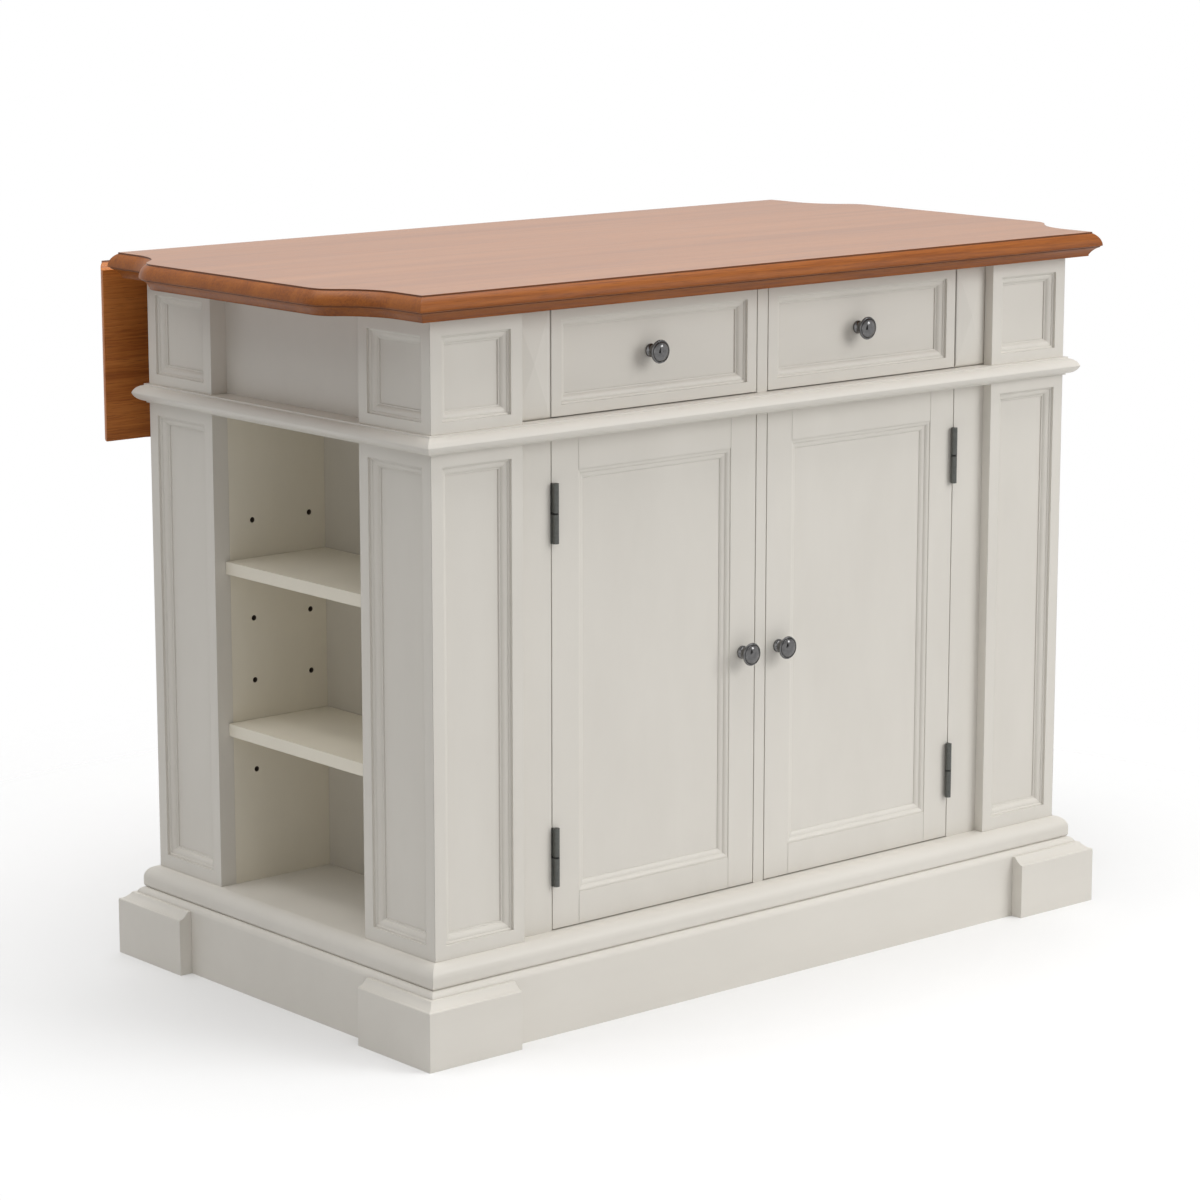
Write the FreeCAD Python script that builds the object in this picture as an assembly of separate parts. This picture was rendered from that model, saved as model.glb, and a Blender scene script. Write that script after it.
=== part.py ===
"""Drop leaf kitchen island: painted case, oak top, two doors, two drawers, open end bays and one rear leaf.

Millimetres. X runs along the width (left end at -X), -Y is the front with the doors, +Z is up.
The origin is on the floor, under the middle of the whole object as it stands with its leaf hanging.
"""
import FreeCAD, Part
import math
import os

from FreeCAD import Vector

# ---------------------------------------------------------------------------- overall and case
overall_height = 914.0          # floor to the top face
case_width = 1068.0             # outer face to outer face of the corner posts
case_depth = 576.0              # front face to rear face of the corner posts
post_width = 137.0              # each moulded face of a corner post
post_board = 23.0               # thickness of the boards a corner post is made of
plinth_height = 89.5            # floor to the underside of the base board
base_board_thick = 28.5
waist_underside = 724.0         # floor to the underside of the waist board
waist_thick = 24.0
frame_setback = 14.0            # front frame and back stand this far behind the posts' faces
frame_thick = 20.0
board_thick = 18.0              # partitions, dividers and cleats
bay_wall_thick = 15.0
bay_depth = 171.0               # end bay, from the post's face to the partition
end_panel_thick = 16.0

# ---------------------------------------------------------------------------- plinth
plinth_board_reach = 22.5       # plinth boards stand this far outside the posts
plinth_board_thick = 20.0
plinth_round = 9.0              # round-over along the top of the plinth boards
block_reach = 40.0              # corner blocks stand this far outside the posts
block_width = 140.0
block_face_height = 73.0        # flat outer face of a corner block
block_cap_height = 82.0         # top of its moulded cap
block_arris = 1.5               # round between that face and the cap
block_cap_width = 13.0
block_cap_hollow = 0.9          # how far the sloping cap is hollowed

# ---------------------------------------------------------------------------- base and waist edges
base_nose = 16.0                # half-round edge of the base board, outside the posts
base_foot = 12.8                # its lower arris, outside the posts
base_round = 16.0               # radius of its upper round
base_foot_round = 4.0           # height of the small round over the lower arris
base_foot_bulge = 0.9
waist_nose = 16.5               # pointed nose of the waist board, outside the posts
waist_bulge = 2.2               # rise of the two arcs that meet at that nose
waist_fillet_reach = 5.0
waist_fillet_height = 2.0
waist_quirk = 2.0               # the underside's step back behind the fillets

# ---------------------------------------------------------------------------- recessed panels
panel_margin = 17.0             # plain border beside a recessed panel on a post
lower_panel_foot = 18.0         # plain border under and over the panels of the lower posts
lower_panel_head = 15.0
upper_panel_foot = 13.5         # the same on the upper posts
upper_panel_head = 20.0
drawer_panel_margin = 15.5      # plain border beside, under and over a drawer front's panel
drawer_panel_foot = 13.5
drawer_panel_head = 14.5
panel_moulding = 12.0           # width of the moulding inside that border
panel_depth = 11.0              # flat of the panel, below the face
diamond_rise = 3.5              # peak of the diamond blocks, in front of the frame

# ---------------------------------------------------------------------------- top
top_end_overhang = 27.5         # top face at its corners, outside the posts
top_side_overhang = 22.0
end_swell = 49.0                # the ends swell out this far beyond the corners
swell_run = 48.0                # straight run from a corner to the start of the swell
swell_hollow_radius = 88.0
swell_round_radius = 40.0
top_board_thick = 20.0
edge_layer_thick = 12.0
edge_nose = 10.0                # nose of the moulded edge, outside the top face
ovolo_start = (0.6, -2.0)       # fillet under the top face's arris: outward, down
ovolo_bulge = 2.0               # rise of the round under that fillet
seam_land = 2.0                 # flat of the nose over the seam between board and edge layer
seam_quirk = (2.5, 0.7)         # how far that land is undercut: inward, up
cove_rise = 1.4                 # hollow of the edge layer
cove_foot_in = 3.0              # its lower end, inside the top face
cove_foot_up = 1.5
strip_inner = 20.0              # moulded strips reach this far inside the top face
strip_lap = 2.0                 # strips and plate overlap by this much before they are joined
run_over = 30.0                 # moulded runs are made longer by this before they are mitred
mitre_out = 90.0                # mitre regions reach this far outside
cleat_height = 30.0
cleat_half = 110.0

# ---------------------------------------------------------------------------- drop leaf and its hinges
leaf_thick = 18.0
leaf_reach = 218.0              # from the joint line to the leaf's far corners, on the top face
joint_gap = 1.2
leaf_pin_out = 13.0             # hinge pin, outside the rear arris of the top face
leaf_pin_drop = 25.5            # hinge pin, below the top face
leaf_pin_radius = 1.6
leaf_barrel_radius = 4.0
leaf_hinge_inset = 204.0        # outer hinges, inside the posts' faces
leaf_hinge_length = 50.0
leaf_plate_thick = 2.0
leaf_plate_run = 32.0
leaf_neck_out = 2.5             # cranked neck, outside the edge layer before it slopes down
leaf_neck_meet = (3.4, 1.5)     # where its upper face meets the barrel: inward, over the pin
leaf_screw_spread = 16.0        # hinge screws, either side of the middle
leaf_screw_runs = (8.0, 20.0)   # and from a plate's outer edge
leaf_fall_angle = 90.0          # from level to hanging
pin_clearance = 0.05            # radial, pin in knuckle
knuckle_gap = 0.3

# ---------------------------------------------------------------------------- folding stays of the leaf
stay_x = -230.0                 # left stay; the right one mirrors it
stay_drop = 90.0                # stay pivot, below the hinge pin
stay_length = 150.0             # pivot to roller
stay_arm_width = 10.0
stay_arm_thick = 4.0
stay_pin_radius = 2.5
stay_roller_radius = 4.0
stay_roller_width = 5.0
stay_offset = 1.0               # arm, beside the middle of the stay
stay_head_radius = 4.1
stay_head_thick = 1.5
roller_play = 0.2               # beside the roller
track_inner = 13.0
track_wall = 1.5
track_lip = 2.5                 # track walls, past the line of the hinge pins when hanging
track_screw_end = 12.0
track_start = 113.0             # track, from the hinge pin along the leaf
track_end = 250.0
bracket_height = 56.0
bracket_width = 34.0
bracket_thick = 3.0
bracket_web_half = 18.0
bracket_screws = (11.0, 21.0)   # across and up from its middle
lug_radius = 6.0
screw_radius = 1.9
screw_head_radius = 3.6
screw_head_depth = 1.8
screw_length = 12.0

# ---------------------------------------------------------------------------- doors
side_stile = 54.5               # frame between a corner post and a door or drawer opening
centre_stile = 17.0
door_gap = 1.5
door_stile = 42.0
door_rail = 40.0
door_panel_depth = 8.0          # face of the panel, below the door's face
door_panel_thick = 8.0
door_panel_tongue = 7.0
door_moulding = 12.5
joint_groove = 0.6              # fine V at the joints between stiles and rails
door_pin_inset = 3.5            # hinge pin, inside the opening's edge
door_pin_out = 5.0              # pin, in front of the frame's face
door_barrel_radius = 4.0
door_hinge_length = 73.0
door_hinge_ends = (93.0, 90.0)  # hinge middles, over the floor board and under the waist board
door_pin_radius = 1.8
door_leaf_thick = 1.2
door_leaf_depth = 17.0
door_web = (2.2, 0.6)           # the leaf's run out to its knuckle, in front of the frame's face
door_knuckle_gap = 0.8
door_hinge_screws = ((11.5, -24.0), (7.0, 0.0), (11.5, 24.0))  # behind the frame's face, from the middle
knob_rise = 304.0               # door knob, over the floor board

# ---------------------------------------------------------------------------- drawers
drawer_front_thick = 18.0
drawer_box_length = 450.0
drawer_box_rise = 14.0          # drawer box, over the waist board
drawer_box_height = 96.0
drawer_side_thick = 12.0
drawer_bottom_thick = 6.0
drawer_bottom_raise = 8.0
groove_depth = 5.0
slide_space = 13.0              # between a drawer side and the divider beside it
slide_height = 39.0
slide_wall = 1.5
slide_clearance = 0.5
slide_length = 400.0
slide_rise = 52.0               # middle of the slides, over the waist board
slide_start = 6.0               # behind the drawer front

# ---------------------------------------------------------------------------- knobs
knob_radius = 14.6
knob_stem_radius = 5.6
knob_foot_radius = 8.3
knob_projection = 23.0
knob_foot_thick = 2.5
knob_flare = 2.5                # rise of the hollow from foot to stem
knob_head_thick = 8.5
knob_rim = 2.4                  # flat ring round the crown
knob_edge = 3.0                 # thickness of the head at its rim
knob_crown_step = 0.7
machine_screw_radius = 2.0
machine_head_radius = 4.0
machine_head_thick = 2.0
machine_grip = 10.0             # length of the screw inside the knob

# ---------------------------------------------------------------------------- shelves and pins
shelf_thick = 16.0
shelf_setback = 16.0
shelf_side_clearance = 0.8
bay_shelf_tops = (328.5, 536.5)
centre_shelf_top = 420.0
centre_shelf_front = 20.0       # behind the doors
shelf_pin_radius = 3.5
shelf_pin_hole = 10.0
shelf_pin_proud = 8.0
spare_hole_heights = (263.0, 379.0, 459.0, 584.5)
bay_pin_columns = (58.0, 146.0)  # from the post's face into the bay
centre_pin_columns = (-170.0, 190.0)

# ---------------------------------------------------------------------------- catches
magnet_size = (24.0, 16.0, 14.0)
strike_size = (20.0, 1.2, 16.0)
catch_x = 60.0
catch_gap = 0.3                 # magnet to strike
catch_drop = 7.0                # the magnet's case, longer than the magnet by this
strike_drop = 4.0               # strike, below the top of the door

# ---------------------------------------------------------------------------- places that follow
half_w = case_width / 2
half_d = case_depth / 2
floor_z = plinth_height + base_board_thick
waist_top = waist_underside + waist_thick
case_top = overall_height - top_board_thick - edge_layer_thick
top_corner_x = half_w + top_end_overhang
top_corner_y = half_d + top_side_overhang
post_in_x = half_w - post_width
post_in_y = half_d - post_width
partition_x = half_w - bay_depth
partition_in = partition_x - board_thick
frame_front = -half_d + frame_setback
frame_back = frame_front + frame_thick
rear_face = half_d - frame_setback
rear_inner = rear_face - frame_thick
end_panel_x = half_w - post_board
end_panel_in = end_panel_x - end_panel_thick
top_z = overall_height
leaf_pin_y = top_corner_y + leaf_pin_out
leaf_pin_z = top_z - leaf_pin_drop
leaf_hang_face = leaf_pin_y + leaf_pin_drop - leaf_thick
leaf_back = leaf_hang_face + leaf_thick
leaf_hinge_x = (leaf_hinge_inset - half_w, 0.0, half_w - leaf_hinge_inset)
opening_half = post_in_x - side_stile
door_pin_x = opening_half - door_pin_inset
door_hinge_heights = (floor_z + door_hinge_ends[0], waist_underside - door_hinge_ends[1])
drawer_box_low = waist_top + drawer_box_rise
drawer_box_high = drawer_box_low + drawer_box_height
slide_centre = waist_top + slide_rise
front_most = -half_d - block_reach
middle_of_depth = (leaf_back + front_most) / 2
track_height = leaf_pin_drop - leaf_thick + track_lip
reach_all = 3000.0              # longer than anything here, for cutting tools

pieces = {}


# ============================================================================ making shapes
def box(x0, x1, y0, y1, z0, z1):
    """A plain board between six planes."""
    return Part.makeBox(x1 - x0, y1 - y0, z1 - z0, Vector(x0, y0, z0))


def bar(radius, start, end):
    """A round bar from one point to another."""
    axis = end - start
    return Part.makeCylinder(radius, axis.Length, start, axis)


def outline_face(start, steps, place):
    """Close an outline of straight steps (u, v) and arcs ((mid u, mid v), (u, v)) and make a face of it."""
    edges = []
    here = place(*start)
    for step in steps:
        if isinstance(step[0], tuple):
            mid, end = place(*step[0]), place(*step[1])
            edges.append(Part.Arc(here, mid, end).toShape())
        else:
            end = place(*step)
            edges.append(Part.LineSegment(here, end).toShape())
        here = end
    edges.append(Part.LineSegment(here, place(*start)).toShape())
    return Part.Face(Part.Wire(edges))


def bulge(start, end, rise):
    """Middle of an arc from start to end that rises to the right of the way from one to the other."""
    across, up = end[0] - start[0], end[1] - start[1]
    chord = math.hypot(across, up)
    return ((start[0] + end[0]) / 2 + rise * up / chord, (start[1] + end[1]) / 2 - rise * across / chord)


def mirrored_steps(start, steps):
    """The same outline walked backwards on the other side of u = 0."""
    points = [start] + [step[1] if isinstance(step[0], tuple) else step for step in steps]
    back = [(-points[-1][0], points[-1][1])]
    for index in range(len(steps) - 1, -1, -1):
        step = steps[index]
        end = (-points[index][0], points[index][1])
        if isinstance(step[0], tuple):
            back.append(((-step[0][0], step[0][1]), end))
        else:
            back.append(end)
    return back


def moulded_slab(half_x, half_y, edge):
    """A board whose four edges all carry one profile, mitred at the corners.

    edge lists (outward, z) from its lower arris up, where outward is measured from half_x and half_y.
    """
    def shifted(half):
        def move(point):
            return (point[0] + half, point[1])
        steps = [tuple(move(p) for p in s) if isinstance(s[0], tuple) else move(s) for s in edge[1:]]
        return move(edge[0]), steps

    start, steps = shifted(half_x)
    across_x = outline_face(start, steps + mirrored_steps(start, steps),
                            lambda u, v: Vector(u, -reach_all / 2, v))
    start, steps = shifted(half_y)
    across_y = outline_face(start, steps + mirrored_steps(start, steps),
                            lambda u, v: Vector(-reach_all / 2, u, v))
    along_y = across_x.extrude(Vector(0, reach_all, 0))
    along_x = across_y.extrude(Vector(reach_all, 0, 0))
    return along_y.common(along_x)


def recess_tool(width, height, profile):
    """What is cut away for a recessed panel centred on the origin in the plane y = 0, going in along +Y.

    profile lists (inward, depth) from the rim to the flat of the panel.
    """
    proud = 1.0

    def section(span, place):
        def spot(point):
            return (point[0] - span / 2, point[1])
        start = (-span / 2, -proud)
        steps = [tuple(spot(p) for p in s) if isinstance(s[0], tuple) else spot(s) for s in profile]
        return outline_face(start, steps + mirrored_steps(start, steps), place)

    upright = section(width, lambda u, v: Vector(u, v, -reach_all / 2)).extrude(Vector(0, 0, reach_all))
    level = section(height, lambda u, v: Vector(-reach_all / 2, v, u)).extrude(Vector(reach_all, 0, 0))
    return upright.common(level)


def mitred_quarter(side, half_x, half_y, low, high):
    """The region of one side of a rectangular ring, bounded by the two 45 degree mitres at its corners."""
    inner = half_x - half_y
    if side in ("front", "rear"):
        near = half_y + mitre_out
        corners = [(-half_x - mitre_out, near), (half_x + mitre_out, near), (inner, 0.0), (-inner, 0.0)]
        if side == "front":
            corners = [(x, -y) for x, y in corners]
    else:
        near = half_x + mitre_out
        corners = [(near, -half_y - mitre_out), (near, half_y + mitre_out), (inner, 0.0)]
        if side == "left":
            corners = [(-x, y) for x, y in corners]
    points = [Vector(x, y, low) for x, y in corners]
    face = Part.Face(Part.makePolygon(points + [points[0]]))
    return face.extrude(Vector(0, 0, high - low))


def circle_through(a, b, c):
    """Centre and radius of the circle through three points of an outline."""
    ab, ac = (b[0] - a[0], b[1] - a[1]), (c[0] - a[0], c[1] - a[1])
    twice = 2 * (ab[0] * ac[1] - ab[1] * ac[0])
    long_ab, long_ac = ab[0] ** 2 + ab[1] ** 2, ac[0] ** 2 + ac[1] ** 2
    x = (ac[1] * long_ab - ab[1] * long_ac) / twice
    y = (ab[0] * long_ac - ac[0] * long_ab) / twice
    return (a[0] + x, a[1] + y), math.hypot(x, y)


def mirror_x(shape):
    """The same piece on the other side, left for right."""
    return shape.mirror(Vector(0, 0, 0), Vector(1, 0, 0))


def mirror_y(shape):
    """The same piece turned front for back."""
    return shape.mirror(Vector(0, 0, 0), Vector(0, 1, 0))


def both_sides(shape):
    """A piece and its mirror image across the width."""
    return [shape, mirror_x(shape)]


def keep(name, solids):
    """File solids under the name of their piece."""
    pieces.setdefault(name, []).extend(solids)


def screw(point, direction):
    """Countersunk wood screw: head flush at point, shank along direction."""
    head = Part.makeCone(screw_head_radius, screw_radius, screw_head_depth, point, direction)
    tip = Vector(direction)
    tip.normalize()
    shank = bar(screw_radius, point + tip * screw_head_depth, point + tip * screw_length)
    return head.fuse(shank)


# ============================================================================ profiles
rim_step = 3.0
panel_profile = [
    (0.0, 0.0), (0.0, rim_step), ((1.9, 3.4), (2.9, 5.0)), (3.8, 5.0),
    ((7.6, 6.3), (10.2, 9.4)), (panel_moulding, 9.6), (panel_moulding, panel_depth)]
door_profile = [
    (0.0, 0.0), (0.0, 1.2), ((3.8, 2.2), (6.0, 4.8)), (6.9, 4.8),
    ((10.2, 5.8), (door_moulding, door_panel_depth))]
ovolo_drop = min(leaf_thick, top_board_thick - seam_land) - 1.5
ovolo_foot = (edge_nose, -ovolo_drop)
ovolo_mid = bulge(ovolo_start, ovolo_foot, -ovolo_bulge)
layer_top = (edge_nose - seam_quirk[0], -top_board_thick)
layer_foot = (-cove_foot_in, case_top - top_z + cove_foot_up)
layer_mid = bulge(layer_top, layer_foot, cove_rise)


def panel_tool(width, height):
    """The recessed panel of the posts and drawer fronts."""
    return recess_tool(width, height, panel_profile)


# ============================================================================ plinth
def make_plinth():
    """Four mitred boards with a rounded top, and four L-shaped blocks with a moulded cap on the corners."""
    round_mid = plinth_round * (1 - math.sqrt(0.5))
    board_edge = [
        (0.0, 0.0), (0.0, plinth_height - plinth_round),
        ((-round_mid, plinth_height - round_mid), (-plinth_round, plinth_height))]
    out_x, out_y = half_w + plinth_board_reach, half_d + plinth_board_reach
    ring = moulded_slab(out_x, out_y, board_edge)
    in_x, in_y = out_x - plinth_board_thick, out_y - plinth_board_thick
    ring = ring.cut(box(-in_x, in_x, -in_y, in_y, -1.0, plinth_height + 1.0))
    for side in ("front", "rear", "left", "right"):
        keep("plinth_boards", [ring.common(mitred_quarter(side, out_x, out_y, -1.0, plinth_height + 1.0))])

    face_top = (0.0, block_face_height - block_arris)
    cap_foot = (-2 * block_arris, block_face_height)
    cap_top = (-block_cap_width, block_cap_height)
    block_edge = [
        (0.0, 0.0), face_top, (bulge(face_top, cap_foot, block_arris / 2), cap_foot),
        (bulge(cap_foot, cap_top, -block_cap_hollow), cap_top)]
    slab = moulded_slab(half_w + block_reach, half_d + block_reach, block_edge)
    slab = slab.cut(moulded_slab(out_x, out_y, board_edge))
    far_x, far_y = half_w + block_reach, half_d + block_reach
    for sx in (-1, 1):
        for sy in (-1, 1):
            x0, x1 = sorted((sx * (far_x - block_width), sx * (far_x + 1)))
            y0, y1 = sorted((sy * (far_y - block_width), sy * (far_y + 1)))
            keep("plinth_blocks", [slab.common(box(x0, x1, y0, y1, -1.0, overall_height))])


# ============================================================================ base and waist boards
def make_case_boards():
    """The floor board with its half-round edge, and the waist board with its pointed nose."""
    foot = (base_foot, plinth_height)
    knee = (base_nose, plinth_height + base_foot_round)
    shoulder = (base_nose, floor_z - base_round)
    top = (base_nose - base_round, floor_z)
    edge = [foot, (bulge(foot, knee, base_foot_bulge), knee), shoulder,
            (bulge(shoulder, top, base_round * (1 - math.sqrt(0.5))), top)]
    keep("base_board", [moulded_slab(half_w, half_d, edge)])

    low = (waist_fillet_reach, waist_underside + waist_fillet_height)
    nose = (waist_nose, waist_underside + waist_thick / 2)
    high = (waist_fillet_reach, waist_top - waist_fillet_height)
    edge = [
        (waist_fillet_reach - waist_quirk, waist_underside), (waist_fillet_reach - waist_quirk, low[1]), low,
        (bulge(low, nose, waist_bulge), nose), (bulge(nose, high, waist_bulge), high),
        (waist_fillet_reach, waist_top)]
    keep("waist_board", [moulded_slab(half_w, half_d, edge)])


# ============================================================================ corner posts
def make_post(low, high, panel_low, panel_high):
    """Front left corner post: two boards mitred into an L, each with a moulded panel in its outer face."""
    post = box(-half_w, -post_in_x, -half_d, -post_in_y, low, high)
    post = post.cut(box(-half_w + post_board, 0, -half_d + post_board, 0, low - 1, high + 1))
    width = post_width - 2 * panel_margin
    tool = panel_tool(width, panel_high - panel_low)
    middle = (panel_low + panel_high) / 2
    front = tool.copy()
    front.translate(Vector(-half_w + post_width / 2, -half_d, middle))
    side = tool.copy()
    side.rotate(Vector(0, 0, 0), Vector(0, 0, 1), -90)
    side.translate(Vector(-half_w, -half_d + post_width / 2, middle))
    post = post.cut(front).cut(side)
    corner = Vector(-half_w - 1, -half_d - 1, low - 1)
    right, back = Vector(2 * post_width, 0, 0), Vector(0, 2 * post_width, 0)
    mitre = Part.Face(Part.makePolygon([corner, corner + right, corner + right + back, corner]))
    mitre = mitre.extrude(Vector(0, 0, high - low + 2))
    return [post.common(mitre), post.cut(mitre)]


def make_posts():
    """The four lower posts, and the four short ones between the waist board and the top."""
    lower = make_post(floor_z, waist_underside, floor_z + lower_panel_foot,
                      waist_underside - lower_panel_head)
    keep("front_left_post", lower)
    keep("front_right_post", [mirror_x(board) for board in lower])
    keep("rear_left_post", [mirror_y(board) for board in lower])
    keep("rear_right_post", [mirror_x(mirror_y(board)) for board in lower])
    upper = make_post(waist_top, case_top, waist_top + upper_panel_foot, case_top - upper_panel_head)
    for board in upper:
        keep("upper_corner_posts", both_sides(board) + both_sides(mirror_y(board)))


# ============================================================================ inside of the case
def shelf_hole(x, y, z, inward):
    """Blind hole for a shelf pin, going into a wall along inward."""
    start = Vector(x, y, z)
    return bar(shelf_pin_radius + pin_clearance, start - inward, start + inward * shelf_pin_hole)


def shelf_pin(x, y, z, inward):
    """A shelf pin standing in its hole."""
    start = Vector(x, y, z)
    return bar(shelf_pin_radius, start - inward * shelf_pin_proud, start + inward * shelf_pin_hole)


def make_bays():
    """Partitions, the side walls of the two end bays, their shelves and all the shelf pins."""
    partition = box(-partition_x, -partition_in, frame_back, rear_inner, floor_z, waist_underside)
    wall = box(-end_panel_x, -partition_x, post_in_y, post_in_y + bay_wall_thick, floor_z, waist_underside)
    rear = Vector(0, 1, 0)
    pins = []
    pin_heights = [top - shelf_thick - shelf_pin_radius for top in bay_shelf_tops]
    for column in bay_pin_columns:
        x = -half_w + column
        for z in list(spare_hole_heights) + pin_heights:
            wall = wall.cut(shelf_hole(x, post_in_y, z, rear))
        pins += [shelf_pin(x, post_in_y, z, rear) for z in pin_heights]
    left = Vector(-1, 0, 0)
    centre_z = centre_shelf_top - shelf_thick - shelf_pin_radius
    for y in centre_pin_columns:
        partition = partition.cut(shelf_hole(-partition_in, y, centre_z, left))
    keep("partitions", both_sides(partition))
    keep("bay_walls", both_sides(wall) + both_sides(mirror_y(wall)))
    for pin in pins:
        keep("shelf_pins", both_sides(pin) + both_sides(mirror_y(pin)))
    for y in centre_pin_columns:
        keep("shelf_pins", both_sides(shelf_pin(-partition_in, y, centre_z, left)))

    half_y = post_in_y - shelf_side_clearance
    for top in bay_shelf_tops:
        shelf = box(-half_w + shelf_setback, -partition_x - shelf_side_clearance, -half_y, half_y,
                    top - shelf_thick, top)
        keep("bay_shelves", both_sides(shelf))
    half_x = partition_in - shelf_side_clearance
    keep("centre_shelf", [box(-half_x, half_x, frame_back + centre_shelf_front,
                              rear_inner - shelf_side_clearance, centre_shelf_top - shelf_thick,
                              centre_shelf_top)])


def make_frame():
    """Front frame stiles, the diamond-point blocks, drawer dividers, back and upper end panels."""
    half_stile = centre_stile / 2
    for low, high in ((floor_z, waist_underside), (waist_top, case_top)):
        side = box(-post_in_x, -opening_half, frame_front, frame_back, low, high)
        keep("front_frame_stiles", both_sides(side))
        keep("front_frame_stiles", [box(-half_stile, half_stile, frame_front, frame_back, low, high)])

    x0, x1 = -post_in_x, -opening_half
    foot = [Vector(x0, frame_front, waist_top), Vector(x1, frame_front, waist_top),
            Vector(x1, frame_front, case_top), Vector(x0, frame_front, case_top)]
    peak = Vector((x0 + x1) / 2, frame_front - diamond_rise, (waist_top + case_top) / 2)
    sides = [Part.Face(Part.makePolygon([foot[i], foot[(i + 1) % 4], peak, foot[i]])) for i in range(4)]
    back = Part.Face(Part.makePolygon(foot + [foot[0]]))
    diamond = Part.makeSolid(Part.makeShell(sides + [back]))
    if diamond.Volume < 0:
        diamond.reverse()
    keep("diamond_blocks", both_sides(diamond))

    side = box(-partition_x, -partition_in, frame_back, rear_inner, waist_top, case_top)
    half_board = board_thick / 2
    keep("drawer_dividers", both_sides(side))
    keep("drawer_dividers", [box(-half_board, half_board, frame_back, rear_inner, waist_top, case_top)])

    panel = box(-post_in_x, post_in_x, rear_inner, rear_face, floor_z, waist_underside)
    width = post_in_x - door_stile - half_stile - door_stile
    height = waist_underside - floor_z - 2 * door_rail
    for sign in (-1, 1):
        tool = recess_tool(width, height, door_profile)
        tool.rotate(Vector(0, 0, 0), Vector(0, 0, 1), 180)
        tool.translate(Vector(sign * (half_stile + door_stile + width / 2), rear_face,
                              (floor_z + waist_underside) / 2))
        panel = panel.cut(tool)
    keep("back_panel", [panel])
    keep("back_rail", [box(-post_in_x, post_in_x, rear_inner, rear_face, waist_top, case_top)])
    half_y = half_d - post_board
    keep("end_panels", both_sides(box(-end_panel_x, -end_panel_in, -half_y, half_y, waist_top, case_top)))


# ============================================================================ top and leaf
def swept_run(profile_start, profile, start, heading, segments):
    """Sweep an edge profile along straight and round segments laid end to end.

    The profile is in (outward, z) with outward on the right hand of the heading; a segment is
    ("line", length) or ("arc", radius, turn), where a positive turn is to the left.
    """
    solids = []
    here, angle = Vector(start), heading
    for segment in segments:
        forward = Vector(math.cos(angle), math.sin(angle), 0)
        outward = Vector(math.sin(angle), -math.cos(angle), 0)
        place_at = Vector(here)
        face = outline_face(profile_start, profile,
                            lambda u, v: place_at + outward * u + Vector(0, 0, v))
        if segment[0] == "line":
            solids.append(face.extrude(forward * segment[1]))
            here = here + forward * segment[1]
        else:
            radius, turn = segment[1], segment[2]
            side = -1 if turn > 0 else 1
            centre = here + outward * (side * radius)
            solids.append(face.revolve(centre, Vector(0, 0, 1), math.degrees(turn)))
            spoke = here - centre
            here = centre + Vector(spoke.x * math.cos(turn) - spoke.y * math.sin(turn),
                                   spoke.x * math.sin(turn) + spoke.y * math.cos(turn), 0)
            angle += turn
    return solids


def swell_turn():
    """Angle through which the hollow and the round of a swelling edge each turn."""
    return math.acos(1 - end_swell / (swell_hollow_radius + swell_round_radius))


def swell_segments(length):
    """Plan of a swelling edge between two corners: straight, hollow, round, straight, round, hollow, straight."""
    turn = swell_turn()
    run = (swell_hollow_radius + swell_round_radius) * math.sin(turn)
    middle = length - 2 * swell_run - 2 * run
    return [("line", swell_run + run_over), ("arc", swell_hollow_radius, -turn),
            ("arc", swell_round_radius, turn), ("line", middle),
            ("arc", swell_round_radius, turn), ("arc", swell_hollow_radius, -turn),
            ("line", swell_run + run_over)]


def swell_outline(half_length, depth):
    """A plate's outline with one swelling edge, inset to where its moulded strips begin.

    The edge runs along u and swells towards +v; the plate goes back from it to v = -depth.
    """
    inset = strip_inner - strip_lap
    turn = swell_turn()
    hollow = swell_hollow_radius + inset
    rounded = swell_round_radius - inset
    hollow_at = (half_length - swell_run, swell_hollow_radius)
    run = (swell_hollow_radius + swell_round_radius) * math.sin(turn)
    round_at = (half_length - swell_run - run, end_swell - swell_round_radius)

    def on_hollow(a):
        return (hollow_at[0] - hollow * math.sin(a), hollow_at[1] - hollow * math.cos(a))

    def on_round(a):
        return (round_at[0] + rounded * math.sin(a), round_at[1] + rounded * math.cos(a))

    corner = (half_length - inset, -inset)
    edge = [on_hollow(0), (on_hollow(turn / 2), on_hollow(turn)), (on_round(turn / 2), on_round(0))]
    start = (corner[0], -depth)
    return start, [corner] + edge + mirrored_steps(corner, edge) + [(-corner[0], -depth)]


def top_plate(low, high):
    """The plan of the top, with its two swelling ends, as a plate between two heights."""
    start, steps = swell_outline(top_corner_y, top_corner_x)
    half = outline_face(start, steps, lambda u, v: Vector(v + top_corner_x, u, low))
    solid = half.extrude(Vector(0, 0, high - low))
    return solid.fuse(mirror_x(solid)).removeSplitter()


def moulded_top(profile_start, profile, low, high):
    """A layer of the top: a plate and the four moulded runs round it, mitred at the corners."""
    runs = []
    right_run = swept_run(profile_start, profile, Vector(top_corner_x, -top_corner_y - run_over, top_z),
                          math.pi / 2, swell_segments(2 * top_corner_y))
    region = mitred_quarter("right", top_corner_x, top_corner_y, 0.0, 2 * overall_height)
    for solid in right_run:
        cut = solid.common(region)
        runs += [cut, mirror_x(cut)]
    rear_run = swept_run(profile_start, profile, Vector(top_corner_x + run_over, top_corner_y, top_z),
                         math.pi, [("line", 2 * (top_corner_x + run_over))])
    region = mitred_quarter("rear", top_corner_x, top_corner_y, 0.0, 2 * overall_height)
    for solid in rear_run:
        cut = solid.common(region)
        runs += [cut, mirror_y(cut)]
    return top_plate(low, high).multiFuse(runs).removeSplitter()


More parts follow.
